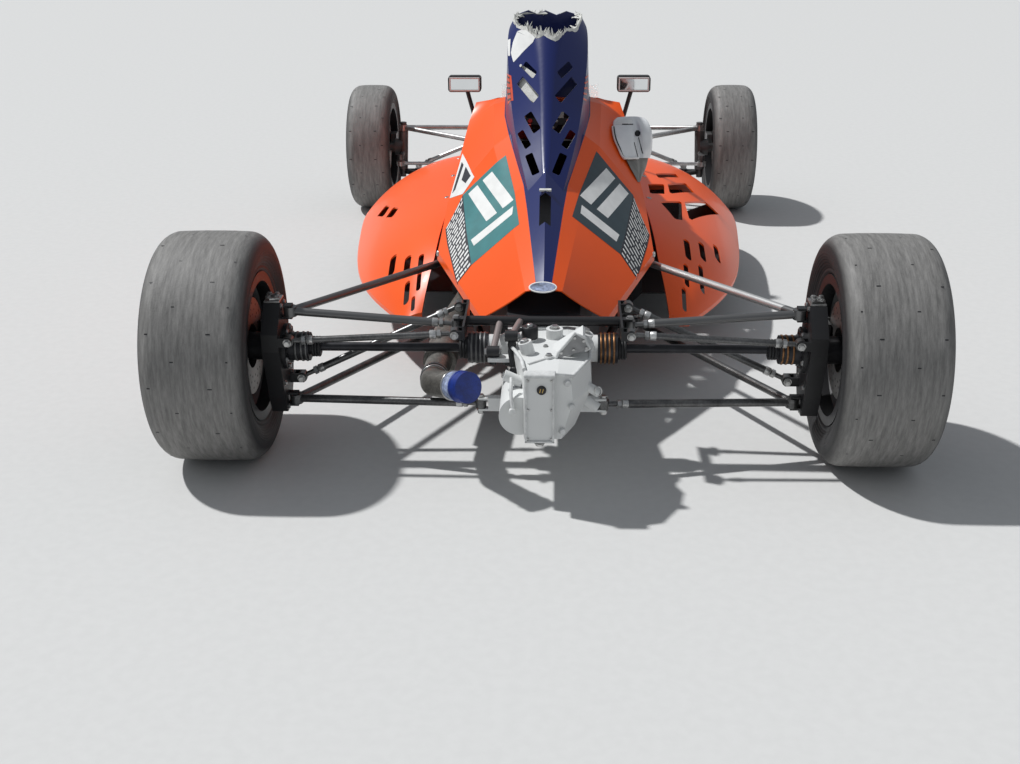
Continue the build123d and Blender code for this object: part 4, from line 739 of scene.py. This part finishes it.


# Wheels: centre nut, driving studs, bolts round the dish, and brake disc drillings in painted shade
WHEEL_FACE = {"rear": 45, "front": 30}
DISC_OUT = {"rear": -78, "front": -50}
DISC_FACE = 5
DISC_ROWS = (76, 90, 104)
DISH_BOLTS, DISH_BOLT_RADIUS = 16, 147
STUDS, STUD_RADIUS = 4, 37


def make_wheel_fittings():
    for axle, (side, word) in product(WHEEL_FACE, SIDES):
        name = f"{axle}_{word}"
        hub, out = middle_of("tyre_" + name)[0], RIGHT * side
        face = hub + out * WHEEL_FACE[axle] * MM
        nuts = Batch("wheel_nuts_" + name, bolt_metal, "wheel_" + name, hub)
        nuts.peg(face, out, 26, (0, 3), (4, 24), 32)
        nuts.turned(face + out * 3.5 * MM, out, [(0, 21), (17, 21), (20, 18)], 6, smooth=False)
        nuts.peg(face + out * 20 * MM, out, 10, (0, 9), (11, 8), 20)
        for place in circle(face, UP, AHEAD, STUD_RADIUS, STUDS, 0.5):
            nuts.bolt(place, out, 15, height=9)
        for place in circle(face - out * 4.7 * MM, UP, AHEAD, DISH_BOLT_RADIUS, DISH_BOLTS, 0.5):
            nuts.bolt(place, out, 7, height=3.5)
        # Drillings are black discs on both faces of the disc: painted shade in the holes.
        hole_shades = Batch("disc_hole_shades_" + name, black_paint, "wheel_" + name, hub)
        for facing, (row, radius) in product((out, -out), enumerate(DISC_ROWS)):
            disc = hub + (out * DISC_OUT[axle] + facing * DISC_FACE) * MM
            for place in circle(disc, UP, AHEAD, radius, 18, row / 3):
                hole_shades.turned(place, facing, [(-0.5, 3), (0.3, 3)], 10)


# Rear uprights: bolts round the bearing and on the arms, as (station, z), and shim plates with bolts on top
UPRIGHT_BOLTS = ((-16, 388), (16, 388), (-14, 126), (14, 126), (-34, 196), (44, 196))
SHIMS = (((648, 0, 400.5), (38, 50, 5), 0), ((643, -12, 405.5), (26, 14, 5), 12),
         ((652, 14, 405.5), (26, 14, 5), -9))
SHIM_BOLTS = ((638, -12), (658, -12), (642, 14), (660, 14))


def make_upright_fittings():
    bright = Batch("upright_bolts", bolt_metal)
    for side, word in SIDES:
        places = circle(at(618, 0, REAR_HUB.z / MM, side), UP, AHEAD, 47, 8, 0.5)
        for place in places + [at(628, station, z, side) for station, z in UPRIGHT_BOLTS]:
            bright.bolt(place, RIGHT * -side, 11)
        for place, size, turn in SHIMS:
            bright.block(at(*place, side), size, turn=(0, 0, turn))
        for x, station in SHIM_BOLTS:
            bright.bolt(at(x, station, 408, side), UP, 12)


# Exhaust: seams, clamps and the worn tape behind the cap
PIPE_END = at(-168, -226, 268)
PIPE_BEND = at(-256, -118, 234)
PIPE_FRONT = at(-264, 0, 208)
PIPE_RADIUS = 32


def make_exhaust_fittings():
    back = (PIPE_END - PIPE_BEND).normalized() * MM
    down = PIPE_BEND - PIPE_FRONT
    Batch("exhaust_tape", tape_worn).band(PIPE_END - back * 41, back, PIPE_RADIUS, 29, 2.2)
    Batch("cap_edge", cap_blue).band(PIPE_END - back * 23, back, PIPE_RADIUS + 4.3, 6, 1.2)
    clamps = Batch("exhaust_clamps", bolt_metal)
    clamps.band(PIPE_END - back * 58.5, back, PIPE_RADIUS, 4, 3.4)
    for share in (0.22, 0.5):
        clamps.band(PIPE_FRONT + down * share, down, PIPE_RADIUS, 7, 2.6)
    seams = Batch("exhaust_seams", dark_steel)
    for share in (0.16, 0.28, 0.56):
        seams.band(PIPE_FRONT + down * share, down, PIPE_RADIUS, 4, 1.4)


# Gearbox: bare framed plate on its tail, pipes, pegs, caps, bolts and the joints at the stays' feet
TAIL = -300
PLATE_LOW, PLATE_HIGH = 168, 322
PLATE_LEFT, PLATE_RIGHT = -36, 30
CASE_PIPES = (
    (4.5, (-80, -80, 320), (-62, -140, 325), (-46, -200, 327), (-38, -262, 327)),
    (4.0, (112, -80, 324), (109, -200, 331), (70, -282, 321), (32, -290, 328)),
    (3.5, (-84, -110, 212), (-92, -180, 212), (-92, -255, 212)),
    (3.5, (-30, -222, 324), (14, -194, 328), (36, -193, 331)),
    (4.2, (-68, -226, 292), (-68, -262, 266), (-64, -270, 236)),
)
CASE_PEGS = (
    ((16, -192, 324), UP, 11.5, (0, 8), (10, 9)),
    ((-64, -266, 229), -AHEAD, 8.5, (0, 8), (9, 7)),
    *[((x, -262, z), (0.3, -1, 0), 8, (0, 30), (33, 6), 20)
      for x, z in ((8, 312), (50, 306), (60, 250), (40, 190))],
    ((92, -132, 334), (0.2, -1, 0.35), 26, (-20, 12), (16, 22), 32),
    ((112, -214, 264), (1, -0.25, -0.55), 11, (-20, 20), (23, 9)),
)
CASE_CAPS = (
    ((1, TAIL + 1, 294), -AHEAD, 10.5, (0, 4), (5, 9), 32),
    ((-63, -130, 272), (-0.5, -1, 0.2), 10, (-12, 10), (12, 8)),
    ((-30, -60, 328), UP, 19.5, (0, 26), (29, 16), 32),
)
CASE_HOSES = (
    (6.5, (-72, -104, 330), (-74, -112, 312), (-70, -126, 292), (-64, -130, 275)),
    (4.5, (-30, -60, 344), (-52, -70, 352), (-70, -92, 346)),
)
CASE_BOLTS = (
    ((28, -50, 348), UP, 20), ((16, -192, 334), UP, 13), ((-3, -290, 163), -UP, 20),
    ((-40.6, -150, 351), (-0.3, 0, 1), 18), ((99.5, -60, 344.5), (0.4, 0, 1), 22),
    ((-85, -190, 284), (-0.9, 0, 0.4), 15), *[((x, -112, 326), UP, 10) for x in (-46, 8, 62, 104)],
    *[((x, -150, z), (0.2, -1, 0.35), 9) for x, z in ((84, 352), (108, 334))],
)
STAY_FEET = ((-116, -96, 306), (-72, -104, 348))


def make_gearbox_fittings():
    cast, dark = Batch("gearbox_ribs", cast_white), Batch("gearbox_caps", black_paint)
    bright, screws = Batch("gearbox_bolts", bolt_metal), Batch("gearbox_screws", gold)
    middle, height = (PLATE_LEFT + PLATE_RIGHT) / 2, (PLATE_LOW + PLATE_HIGH) / 2
    for edge, inwards in ((PLATE_LEFT, 1), (PLATE_RIGHT, -1)):
        cast.block(at(edge + 2.5 * inwards, TAIL - 1.5, height), (5, 5, PLATE_HIGH - PLATE_LOW), chamfer=0.8)
        for z in (316, 176, 246):
            bright.bolt(at(edge + 7 * inwards, TAIL, z), -AHEAD, 6, height=3, washer=False)
    cast.block(at(middle, TAIL + 4, 329), (70, 30, 9), chamfer=2)
    cast.block(at(middle, TAIL - 1.5, PLATE_LOW + 1), (66, 5, 5), chamfer=0.8)
    for batch, pipes, pegs in ((cast, CASE_PIPES, CASE_PEGS), (dark, CASE_HOSES, CASE_CAPS)):
        for radius, *path in pipes:
            batch.tube([at(*place) for place in path], radius)
        for place, *form in pegs:
            batch.peg(at(*place), *form)
    for x in (-2, 4):
        screws.block(at(x, TAIL - 4.6, 294), (2.2, 2, 10), turn=(0, 14, 0), chamfer=0.5)
    for place, axis, size in CASE_BOLTS:
        bright.bolt(at(*place), axis, size)
    bright.peg(at(-30, -60, 356), UP, 7.5, (0, 6), (7, 5), 20)
    bright.tube(circle(at(128, -226, 262), UP * 11, RIGHT * 8, 1, 12), 1.8, 8)
    for foot in STAY_FEET:
        dark.turned(at(*foot) - RIGHT * 15 * MM, RIGHT, [(0, 13.5), (30, 13.5)])
        dark.turned(at(*foot) + mm(0, -4, -30), (0.1, 0.2, 1), [(0, 8), (12, 11), (22, 7)], 20)
        for facing in (-RIGHT, RIGHT):
            bright.bolt(at(*foot) + facing * 15 * MM, facing, 14)


# Slanted cover of the gearbox: an upright wall across its rear edge in painted shade, framed by a pale cast
# rim
COVER_WALL = ((33, 330), (36, 341), (75, 391), (97, 379), (108, 354), (97, 349))
COVER_BOLTS = ((44, 344), (74, 380), (94, 373), (101, 356), (72, 352))


def make_cover_wall():
    faces = [[at(x, station, z) for x, z in COVER_WALL] for station in (-200, -190)]
    Batch("cover_wall", cast_painted_shade).rings(faces, smooth=False)
    Batch("cover_rim", cast_white).tube([at(x, -198, z) for x, z in COVER_WALL], 3.8, 10)
    bright = Batch("cover_bolts", bolt_metal)
    for x, z in COVER_BOLTS:
        bright.bolt(at(x, -200, z), -AHEAD, 7.5, washer=False)


# Oval bare plate at the tip of the cover
TIP_PLACE = at(-2, 107, 398)
TIP_NORMAL = Vector((0, -0.48, 0.877)).normalized()


def make_tip_plate():
    for batch, lift, half_wide, half_high, thick in ((Batch("tip_plate_rim", white_print), 0, 35, 19, 1.6),
                                                     (Batch("tip_plate", tape_worn), 0.8, 31.5, 15.5, 1.4)):
        u, v = RIGHT * half_wide, TIP_NORMAL.cross(RIGHT) * half_high
        levels = [(lift + rise * thick, shrink) for rise, shrink in ((-0.6, 1), (0.7, 1), (1, 0.97))]
        batch.rings([circle(TIP_PLACE + TIP_NORMAL * z * MM, u, v, shrink, 40) for z, shrink in levels])


# Fasteners: quarter-turn studs let into the panels, as places close to the skin, with slots in painted shade
STUD_ROWS = (
    ("engine_cover", (1, -0.2, 0.2), (
        (310, 975, 372), (306, 850, 356), (306, 720, 340), (304, 600, 356), (296, 500, 366))),
    ("cockpit_surround", (1, 0, 0.3), (
        (296, 1060, 372), (296, 1250, 372), (296, 1450, 372), (290, 1650, 372), (272, 1850, 372),
        (240, 2060, 372), (196, 2320, 366), (172, 2600, 356), (146, 2820, 338))),
    ("nose_cone", (0.3, 0, 1), ((62, 2868, 350), (112, 2868, 330))),
    ("nose_cone", (1, 0, 0.1), ((142, 2868, 230), (142, 2868, 110))),
    ("side_pod_right", (0, 0, 1), ((318, 1040, 400), (318, 1300, 408), (318, 1560, 408), (318, 1800, 380))),
)


def make_studs():
    bright, slot_shades = Batch("panel_studs", bolt_metal), Batch("stud_slot_shades", black_paint)
    for (node, (out, back, up), places), (side, word) in product(STUD_ROWS, SIDES):
        away = Vector((side * out, back, up)).normalized()
        for place in places:
            hit, normal = drop_on(node.replace("right", word), at(*place, side), away, 70)
            if hit:
                bright.peg(hit - normal * MM, normal, 8.5, (0, 1.6), (2.6, 7), 20)
                # The stud's slot is a black patch: painted shade in the recess.
                slot_shades.patch(hit + normal * 1.8 * MM, *axes_across(normal), 5, 0.7)


# Mirrors: glass with a pale rim on the faces that look back
MIRROR_FACE = (280, 1383, 686)
MIRROR_RIM = ((0, 20.5, 100, 4), (0, -20.5, 100, 4), (48, 0, 4, 41), (-48, 0, 4, 41))


def make_mirror_faces():
    rims, glasses = Batch("mirror_rims", white_print), Batch("mirror_glass", mirror_skin)
    for side, word in SIDES:
        centre = at(*MIRROR_FACE, side)
        glasses.block(centre - AHEAD * 0.8 * MM, (92, 2, 36), chamfer=0.5)
        for x, z, wide, tall in MIRROR_RIM:
            rims.block(centre + mm(x, -1, z), (wide, 4, tall), chamfer=0.6)


# Cowl: a pale liner behind the upper left louvres on short brackets, and a lip ahead of the centre vent
LINER = ((-84, 782, 846), (-14, 704, 812), (-10, 648, 736), (-90, 742, 776))
LINER_IN = Vector((0.593, 0.610, -0.525)) * MM


def make_cowl_inside():
    pale = Batch("cowl_liners", liner_white)
    face = [at(*corner) + LINER_IN * 16 for corner in LINER]
    pale.rings([face, [p + LINER_IN * 1.5 for p in face]], smooth=False)
    for corner, opposite in zip(face, face[2:] + face[:2]):
        pale.turned(corner + (opposite - corner) * 0.06 + LINER_IN, -LINER_IN, [(0, 4), (10.5, 4)], 10)
    pale.block(at(0, 419, 566), (32, 8, 6), turn=(28, 0, 0))


# Scoop: a pouch with two lobes on the cover's right flank. Levels run down it, each with its left edge on
# the cover, its right edge, and how far it swells behind and ahead of them
POUCH = (
    (208, 905, 667, 286, 915, 664, 4, 16), (196, 893, 660, 295, 905, 657, 12, 40),
    (192, 879, 648, 302, 895, 646, 20, 60), (193, 845, 634, 309, 885, 627, 27, 75),
    (198, 815, 617, 311, 880, 605, 28, 75), (208, 794, 598, 310, 872, 582, 24, 66),
    (215, 780, 583, 307, 865, 566, 18, 56), (222, 772, 574, 303, 858, 556, 12, 50),
)
SKIRT = (
    (228, 776, 572, 299, 857, 556, 6, 42), (242, 760, 547, 291, 835, 531, 9, 30),
    (254, 750, 528, 280, 800, 518, 7, 20), (263, 742, 511, 270, 752, 509, 2, 6),
)
SCOOP_BACK = Vector((-0.06, -0.98, 0.195))
SCOOP_MOUTH = at(254, 938, 618)
MOUTH_AHEAD = (0, 0.99, 0.1)
CREASE = 0.22
OCTAGON = (((0.3, 0), (0.7, 0), (1, 0.3), (0, 0.3)), ((0, 0.3), (1, 0.3), (1, 0.7), (0, 0.7)),
           ((0, 0.7), (1, 0.7), (0.7, 1), (0.3, 1)))
# Dark marks on the scoop are painted shade: a patch in its hole, lines in its creases and under the collar.
SCOOP_HOLE_SHADE = ((256, 850, 621), (273, 850, 621), (273, 850, 639), (256, 850, 639))
SCOOP_CREASE_SHADES = (
    ((266, 850, 618), (269, 850, 618), (283, 850, 571), (280, 850, 571)),
    ((254, 850, 604), (256, 850, 604), (268, 850, 562), (266, 850, 562)),
    ((220, 880, 649), (252, 880, 649), (252, 880, 652), (220, 880, 652)),
)
SCOOP_COLLAR = ((198, 880, 650), (250, 880, 652), (248, 880, 664), (212, 880, 664))


def eased(rows, steps=4):
    """Smooth curve through rows of numbers, with a count of steps between two rows."""
    made = []
    for i, k in product(range(len(rows) - 1), range(steps)):
        near = [rows[max(0, min(len(rows) - 1, i + d))] for d in (-1, 0, 1, 2)]
        t = k / steps
        made.append([b + 0.5 * t * (c - a + t * (2 * a - 5 * b + 4 * c - d + t * (3 * b - a - 3 * c + d)))
                     for a, b, c, d in zip(*near)])
    return made + [list(rows[-1])]


def pouch_ring(row, fold):
    """Section of the pouch; fold is how deep the crease between its lobes goes."""
    left, right = at(*row[:3]), at(*row[3:6])
    middle, half = (left + right) / 2, (right - left) / 2
    ring = []
    for c, s in turns(64):
        if s >= 0:
            swell = s ** 0.6 * (1 - fold * math.exp(-((c - CREASE) / 0.20) ** 2))
            ring.append(middle + half * c + SCOOP_BACK * row[6] * MM * swell)
        else:
            ring.append(middle + half * (c - 0.25 * s * (1 - c)) - AHEAD * s * row[7] * MM)
    return ring


def make_scoop():
    pouch = Batch("scoop_pouch", silver_skin)
    rings = [pouch_ring(row, 0.75) for row in eased(POUCH)]
    pouch.rings(rings)
    obj = pouch.close()
    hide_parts("intake_scoop")
    trees["intake_scoop"] = BVHTree.FromPolygons(pouch.points, pouch.faces)
    # The lower skirt is in a darker copy of the silver: painted shade.
    Batch("scoop_skirt", silver_painted_shade).rings([pouch_ring(row, 0.7) for row in eased(SKIRT)])
    lip, dark = Batch("scoop_lip", white_print), Batch("scoop_shade_marks", black_paint)
    lift = SCOOP_BACK * 4 * MM
    left, foot = [ring[31] for ring in rings[9:]], rings[-1][30:14:-1]
    lip.tube([point + lift for point in left + foot], 3.6, 8)
    lip.turned(SCOOP_MOUTH, MOUTH_AHEAD, [(-14, 34), (4, 34), (7, 31), (3, 28)], 40)
    # Black line between the left lobe and the lip, and a black disc in the mouth: painted shade.
    dark.tube([ring[28] + SCOOP_BACK * MM for ring in rings[9:27]], 2.2, 8)
    dark.turned(SCOOP_MOUTH, MOUTH_AHEAD, [(1, 27.5), (4.2, 27.5)], 40)
    # Black patch in the hole and dark lines in the creases and under the collar: painted shade.
    sticker("scoop_hole_shade", SCOOP_HOLE_SHADE, black_paint, OCTAGON, 0.6, 4, SCOOP_BACK, "intake_scoop")
    for k, quad in enumerate(SCOOP_CREASE_SHADES):
        sticker(f"scoop_crease_shade_{k}", quad, dark_steel, WHOLE, 0.7, 8, SCOOP_BACK, "intake_scoop")
    sticker("scoop_tape", SCOOP_COLLAR, white_print, WHOLE, 0.5, 5, SCOOP_BACK, "intake_scoop")


# Cockpit: display and dials, grips and buttons of the wheel, harness, and the padded headrest
def make_dash_dials():
    bezel, faces = Batch("dash_bezels", black_paint), Batch("dash_faces", gauge_face)
    marks = Batch("dash_marks", dark_steel)
    bezel.block(at(0, 1868, 496), (130, 12, 62), chamfer=3)
    faces.block(at(0, 1861, 492), (104, 3, 36), chamfer=0.8)
    for k in range(5):
        marks.peg(at(-40 + 20 * k, 1862, 520), -AHEAD, 3.5, (-2, 1.5), (2.5, 2.5), 16)
    for side, word in SIDES:
        centre = at(112, 1872, 482, side)
        bezel.turned(centre, -AHEAD, [(-2, 27), (10, 27), (11, 24.5), (7, 24)], 40)
        faces.turned(centre, -AHEAD, [(1, 23.8), (8.5, 23.8)], 40)
        for degrees in range(-135, 136, 27):
            t = math.radians(degrees)
            spot = centre + mm(math.sin(t) * 19.5, -8.6, math.cos(t) * 19.5)
            marks.block(spot, (1.2, 0.8, 4.5), turn=(0, degrees, 0), chamfer=0.1)
        marks.block(centre + mm(4, -9.2, 6), (1.4, 0.8, 18), turn=(0, 34, 0), chamfer=0.1)
        for x in (60, 76, 92):
            bezel.peg(at(x, 1872, 442, side), -AHEAD, 6, (-2, 3), (4, 4), 16)
            marks.turned(at(x, 1868, 442, side), (0, -1, 0.5), [(0, 2), (13, 2.8)], 12)


# Steering wheel: its centre, the column's way forward, and the wheel's own upward way
WHEEL_CENTRE = at(0, 1690, 505)
COLUMN = Vector((0, 0.958991, -0.283435))
WHEEL_UP = Vector((0, 0.283435, 0.958991))
GRIP_RING = 135


def make_wheel_trim():
    grips = Batch("wheel_grips", seat_cloth, "steering", WHEEL_CENTRE)
    for start in (-42, 138):
        steps = [math.radians(start + k * 7) for k in range(13)]
        arc = [(RIGHT * math.cos(t) + WHEEL_UP * math.sin(t)) * GRIP_RING * MM for t in steps]
        grips.tube([WHEEL_CENTRE + point for point in arc], 14.6, 20)
    metal = Batch("wheel_hub_bolts", bolt_metal, "steering", WHEEL_CENTRE)
    face = WHEEL_CENTRE - COLUMN * 8 * MM
    metal.peg(face, -COLUMN, 20, (0, 6), (9, 16), 32)
    for place in circle(face, RIGHT, WHEEL_UP, 25.8, 6):
        metal.bolt(place, -COLUMN, 8)
    buttons = Batch("wheel_buttons", belt_red, "steering", WHEEL_CENTRE)
    for side, word in SIDES:
        spot = WHEEL_CENTRE + (RIGHT * side * 70 - COLUMN * 3) * MM
        buttons.turned(spot, -COLUMN, [(0, 9), (4, 9), (5, 6), (9, 6)], 20)


# Harness: the webbing's section as shares of its half width and half thickness, and its routes
BELT_THICK = 2.4
BELT_SECTION = ((-1, -0.5), (-0.94, -1), (0.94, -1), (1, -0.5), (1, 0.5), (0.94, 1), (-0.94, 1), (-1, 0.5))
SHOULDER_BELT = ((78, 1098, 606), (76, 1108, 590), (72, 1140, 508), (67, 1174, 421), (60, 1210, 330),
                 (52, 1246, 240), (42, 1280, 155), (34, 1304, 100), (26, 1330, 74))
LAP_BELT = ((188, 1318, 128), (160, 1324, 96), (120, 1334, 76), (80, 1344, 71), (30, 1348, 73))
CROTCH_BELT = ((0, 1352, 74), (0, 1392, 70), (0, 1440, 69), (0, 1490, 68))


def strap(batch, side, places, facing, width):
    """Webbing along a path, flat against a surface that faces the given way."""
    path = [at(*place, side) for place in places]
    rings = []
    for i, point in enumerate(path):
        run = run_along(path, i)
        across = run.cross(Vector(facing)).normalized()
        rise = across.cross(run).normalized()
        u, v = across * width / 2 * MM, rise * BELT_THICK / 2 * MM
        rings.append([point + u * a + v * b for a, b in BELT_SECTION])
    batch.rings(rings, smooth=False)


def make_harness():
    webbing, metal = Batch("harness_webbing", belt_red), Batch("harness_buckles", bolt_metal)
    for side, word in SIDES:
        strap(webbing, side, SHOULDER_BELT, (0, 0.93, 0.366), 50)
        strap(webbing, side, LAP_BELT, (0, -0.1, 1), 48)
        metal.block(at(63, 1196, 372, side), (60, 5, 30), turn=(21.5, 0, 0), chamfer=1.5)
        metal.block(at(105, 1338, 77, side), (34, 58, 5), turn=(0, 0, side * 10), chamfer=1.5)
        metal.bolt(at(190, 1318, 132, side), (-side, 0, 0.2), 20)
    strap(webbing, 1, CROTCH_BELT, UP, 46)
    metal.turned(at(0, 1346, 72), UP, [(0, 30), (10, 30), (14, 26), (14, 12), (20, 11)], 40)
    metal.block(at(0, 1346, 95), (50, 10, 6), turn=(0, 0, 30), chamfer=2)


# Headrest: levels of its pad as (share of its depth, share of its outline)
PAD_LEVELS = ((0.0, 0.955), (0.10, 0.99), (0.30, 1.0), (0.62, 0.995), (0.78, 0.965), (0.88, 0.91),
              (0.95, 0.80), (0.99, 0.60), (1.01, 0.30), (1.015, 0.08))
PIPING_LEVEL = (0.84, 0.945)


def make_headrest():
    centre, size = middle_of("headrest")

    def outline(depth, share):
        ring = []
        for c, s in turns(72):
            x = math.copysign(abs(c) ** 0.36, c)
            z = math.copysign(abs(s) ** 0.36, s)
            waist = 1 - 0.035 * (1 - min(abs(x), abs(z)) ** 2)
            ring.append(centre + Vector((size.x * x * share * waist, size.y * (2 * depth - 1),
                                         size.z * z * share * waist)))
        return ring

    pad = Batch("headrest_pad", seat_cloth)
    pad.rings([outline(*level) for level in PAD_LEVELS])
    obj = pad.close()
    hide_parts("headrest")
    ring = outline(*PIPING_LEVEL)
    Batch("headrest_piping", boot_rubber).tube(ring + ring[:2], 2.2, 8)


# Radiator: fins across its core, a tank at each end
FINS = 34


def make_radiator_fins():
    centre, half = middle_of("radiator")
    wide, deep, tall = half * 2 / MM
    fins, tanks = Batch("radiator_fins", core_fins), Batch("radiator_tanks", rod_bright)
    for k in range(FINS):
        level = tall * ((k + 0.5) / FINS - 0.5)
        fins.block(centre + UP * level * MM, (wide - 24, deep + 1.6, 1.6), chamfer=0.2)
    for side in (-1, 1):
        tanks.block(centre + RIGHT * side * (wide / 2 - 6) * MM, (14, deep + 4, tall + 2), chamfer=3)


for make in (make_camera, make_lights, make_floor, make_tyres, make_stickers, make_torn_edge,
             make_link_fittings, make_shaft_fittings, make_wheel_fittings, make_upright_fittings,
             make_exhaust_fittings, make_gearbox_fittings, make_cover_wall, make_tip_plate, make_studs,
             make_mirror_faces, make_cowl_inside, make_scoop, make_dash_dials, make_wheel_trim, make_harness,
             make_headrest, make_radiator_fins):
    make()
for batch in list(Batch.left_open):
    batch.close()
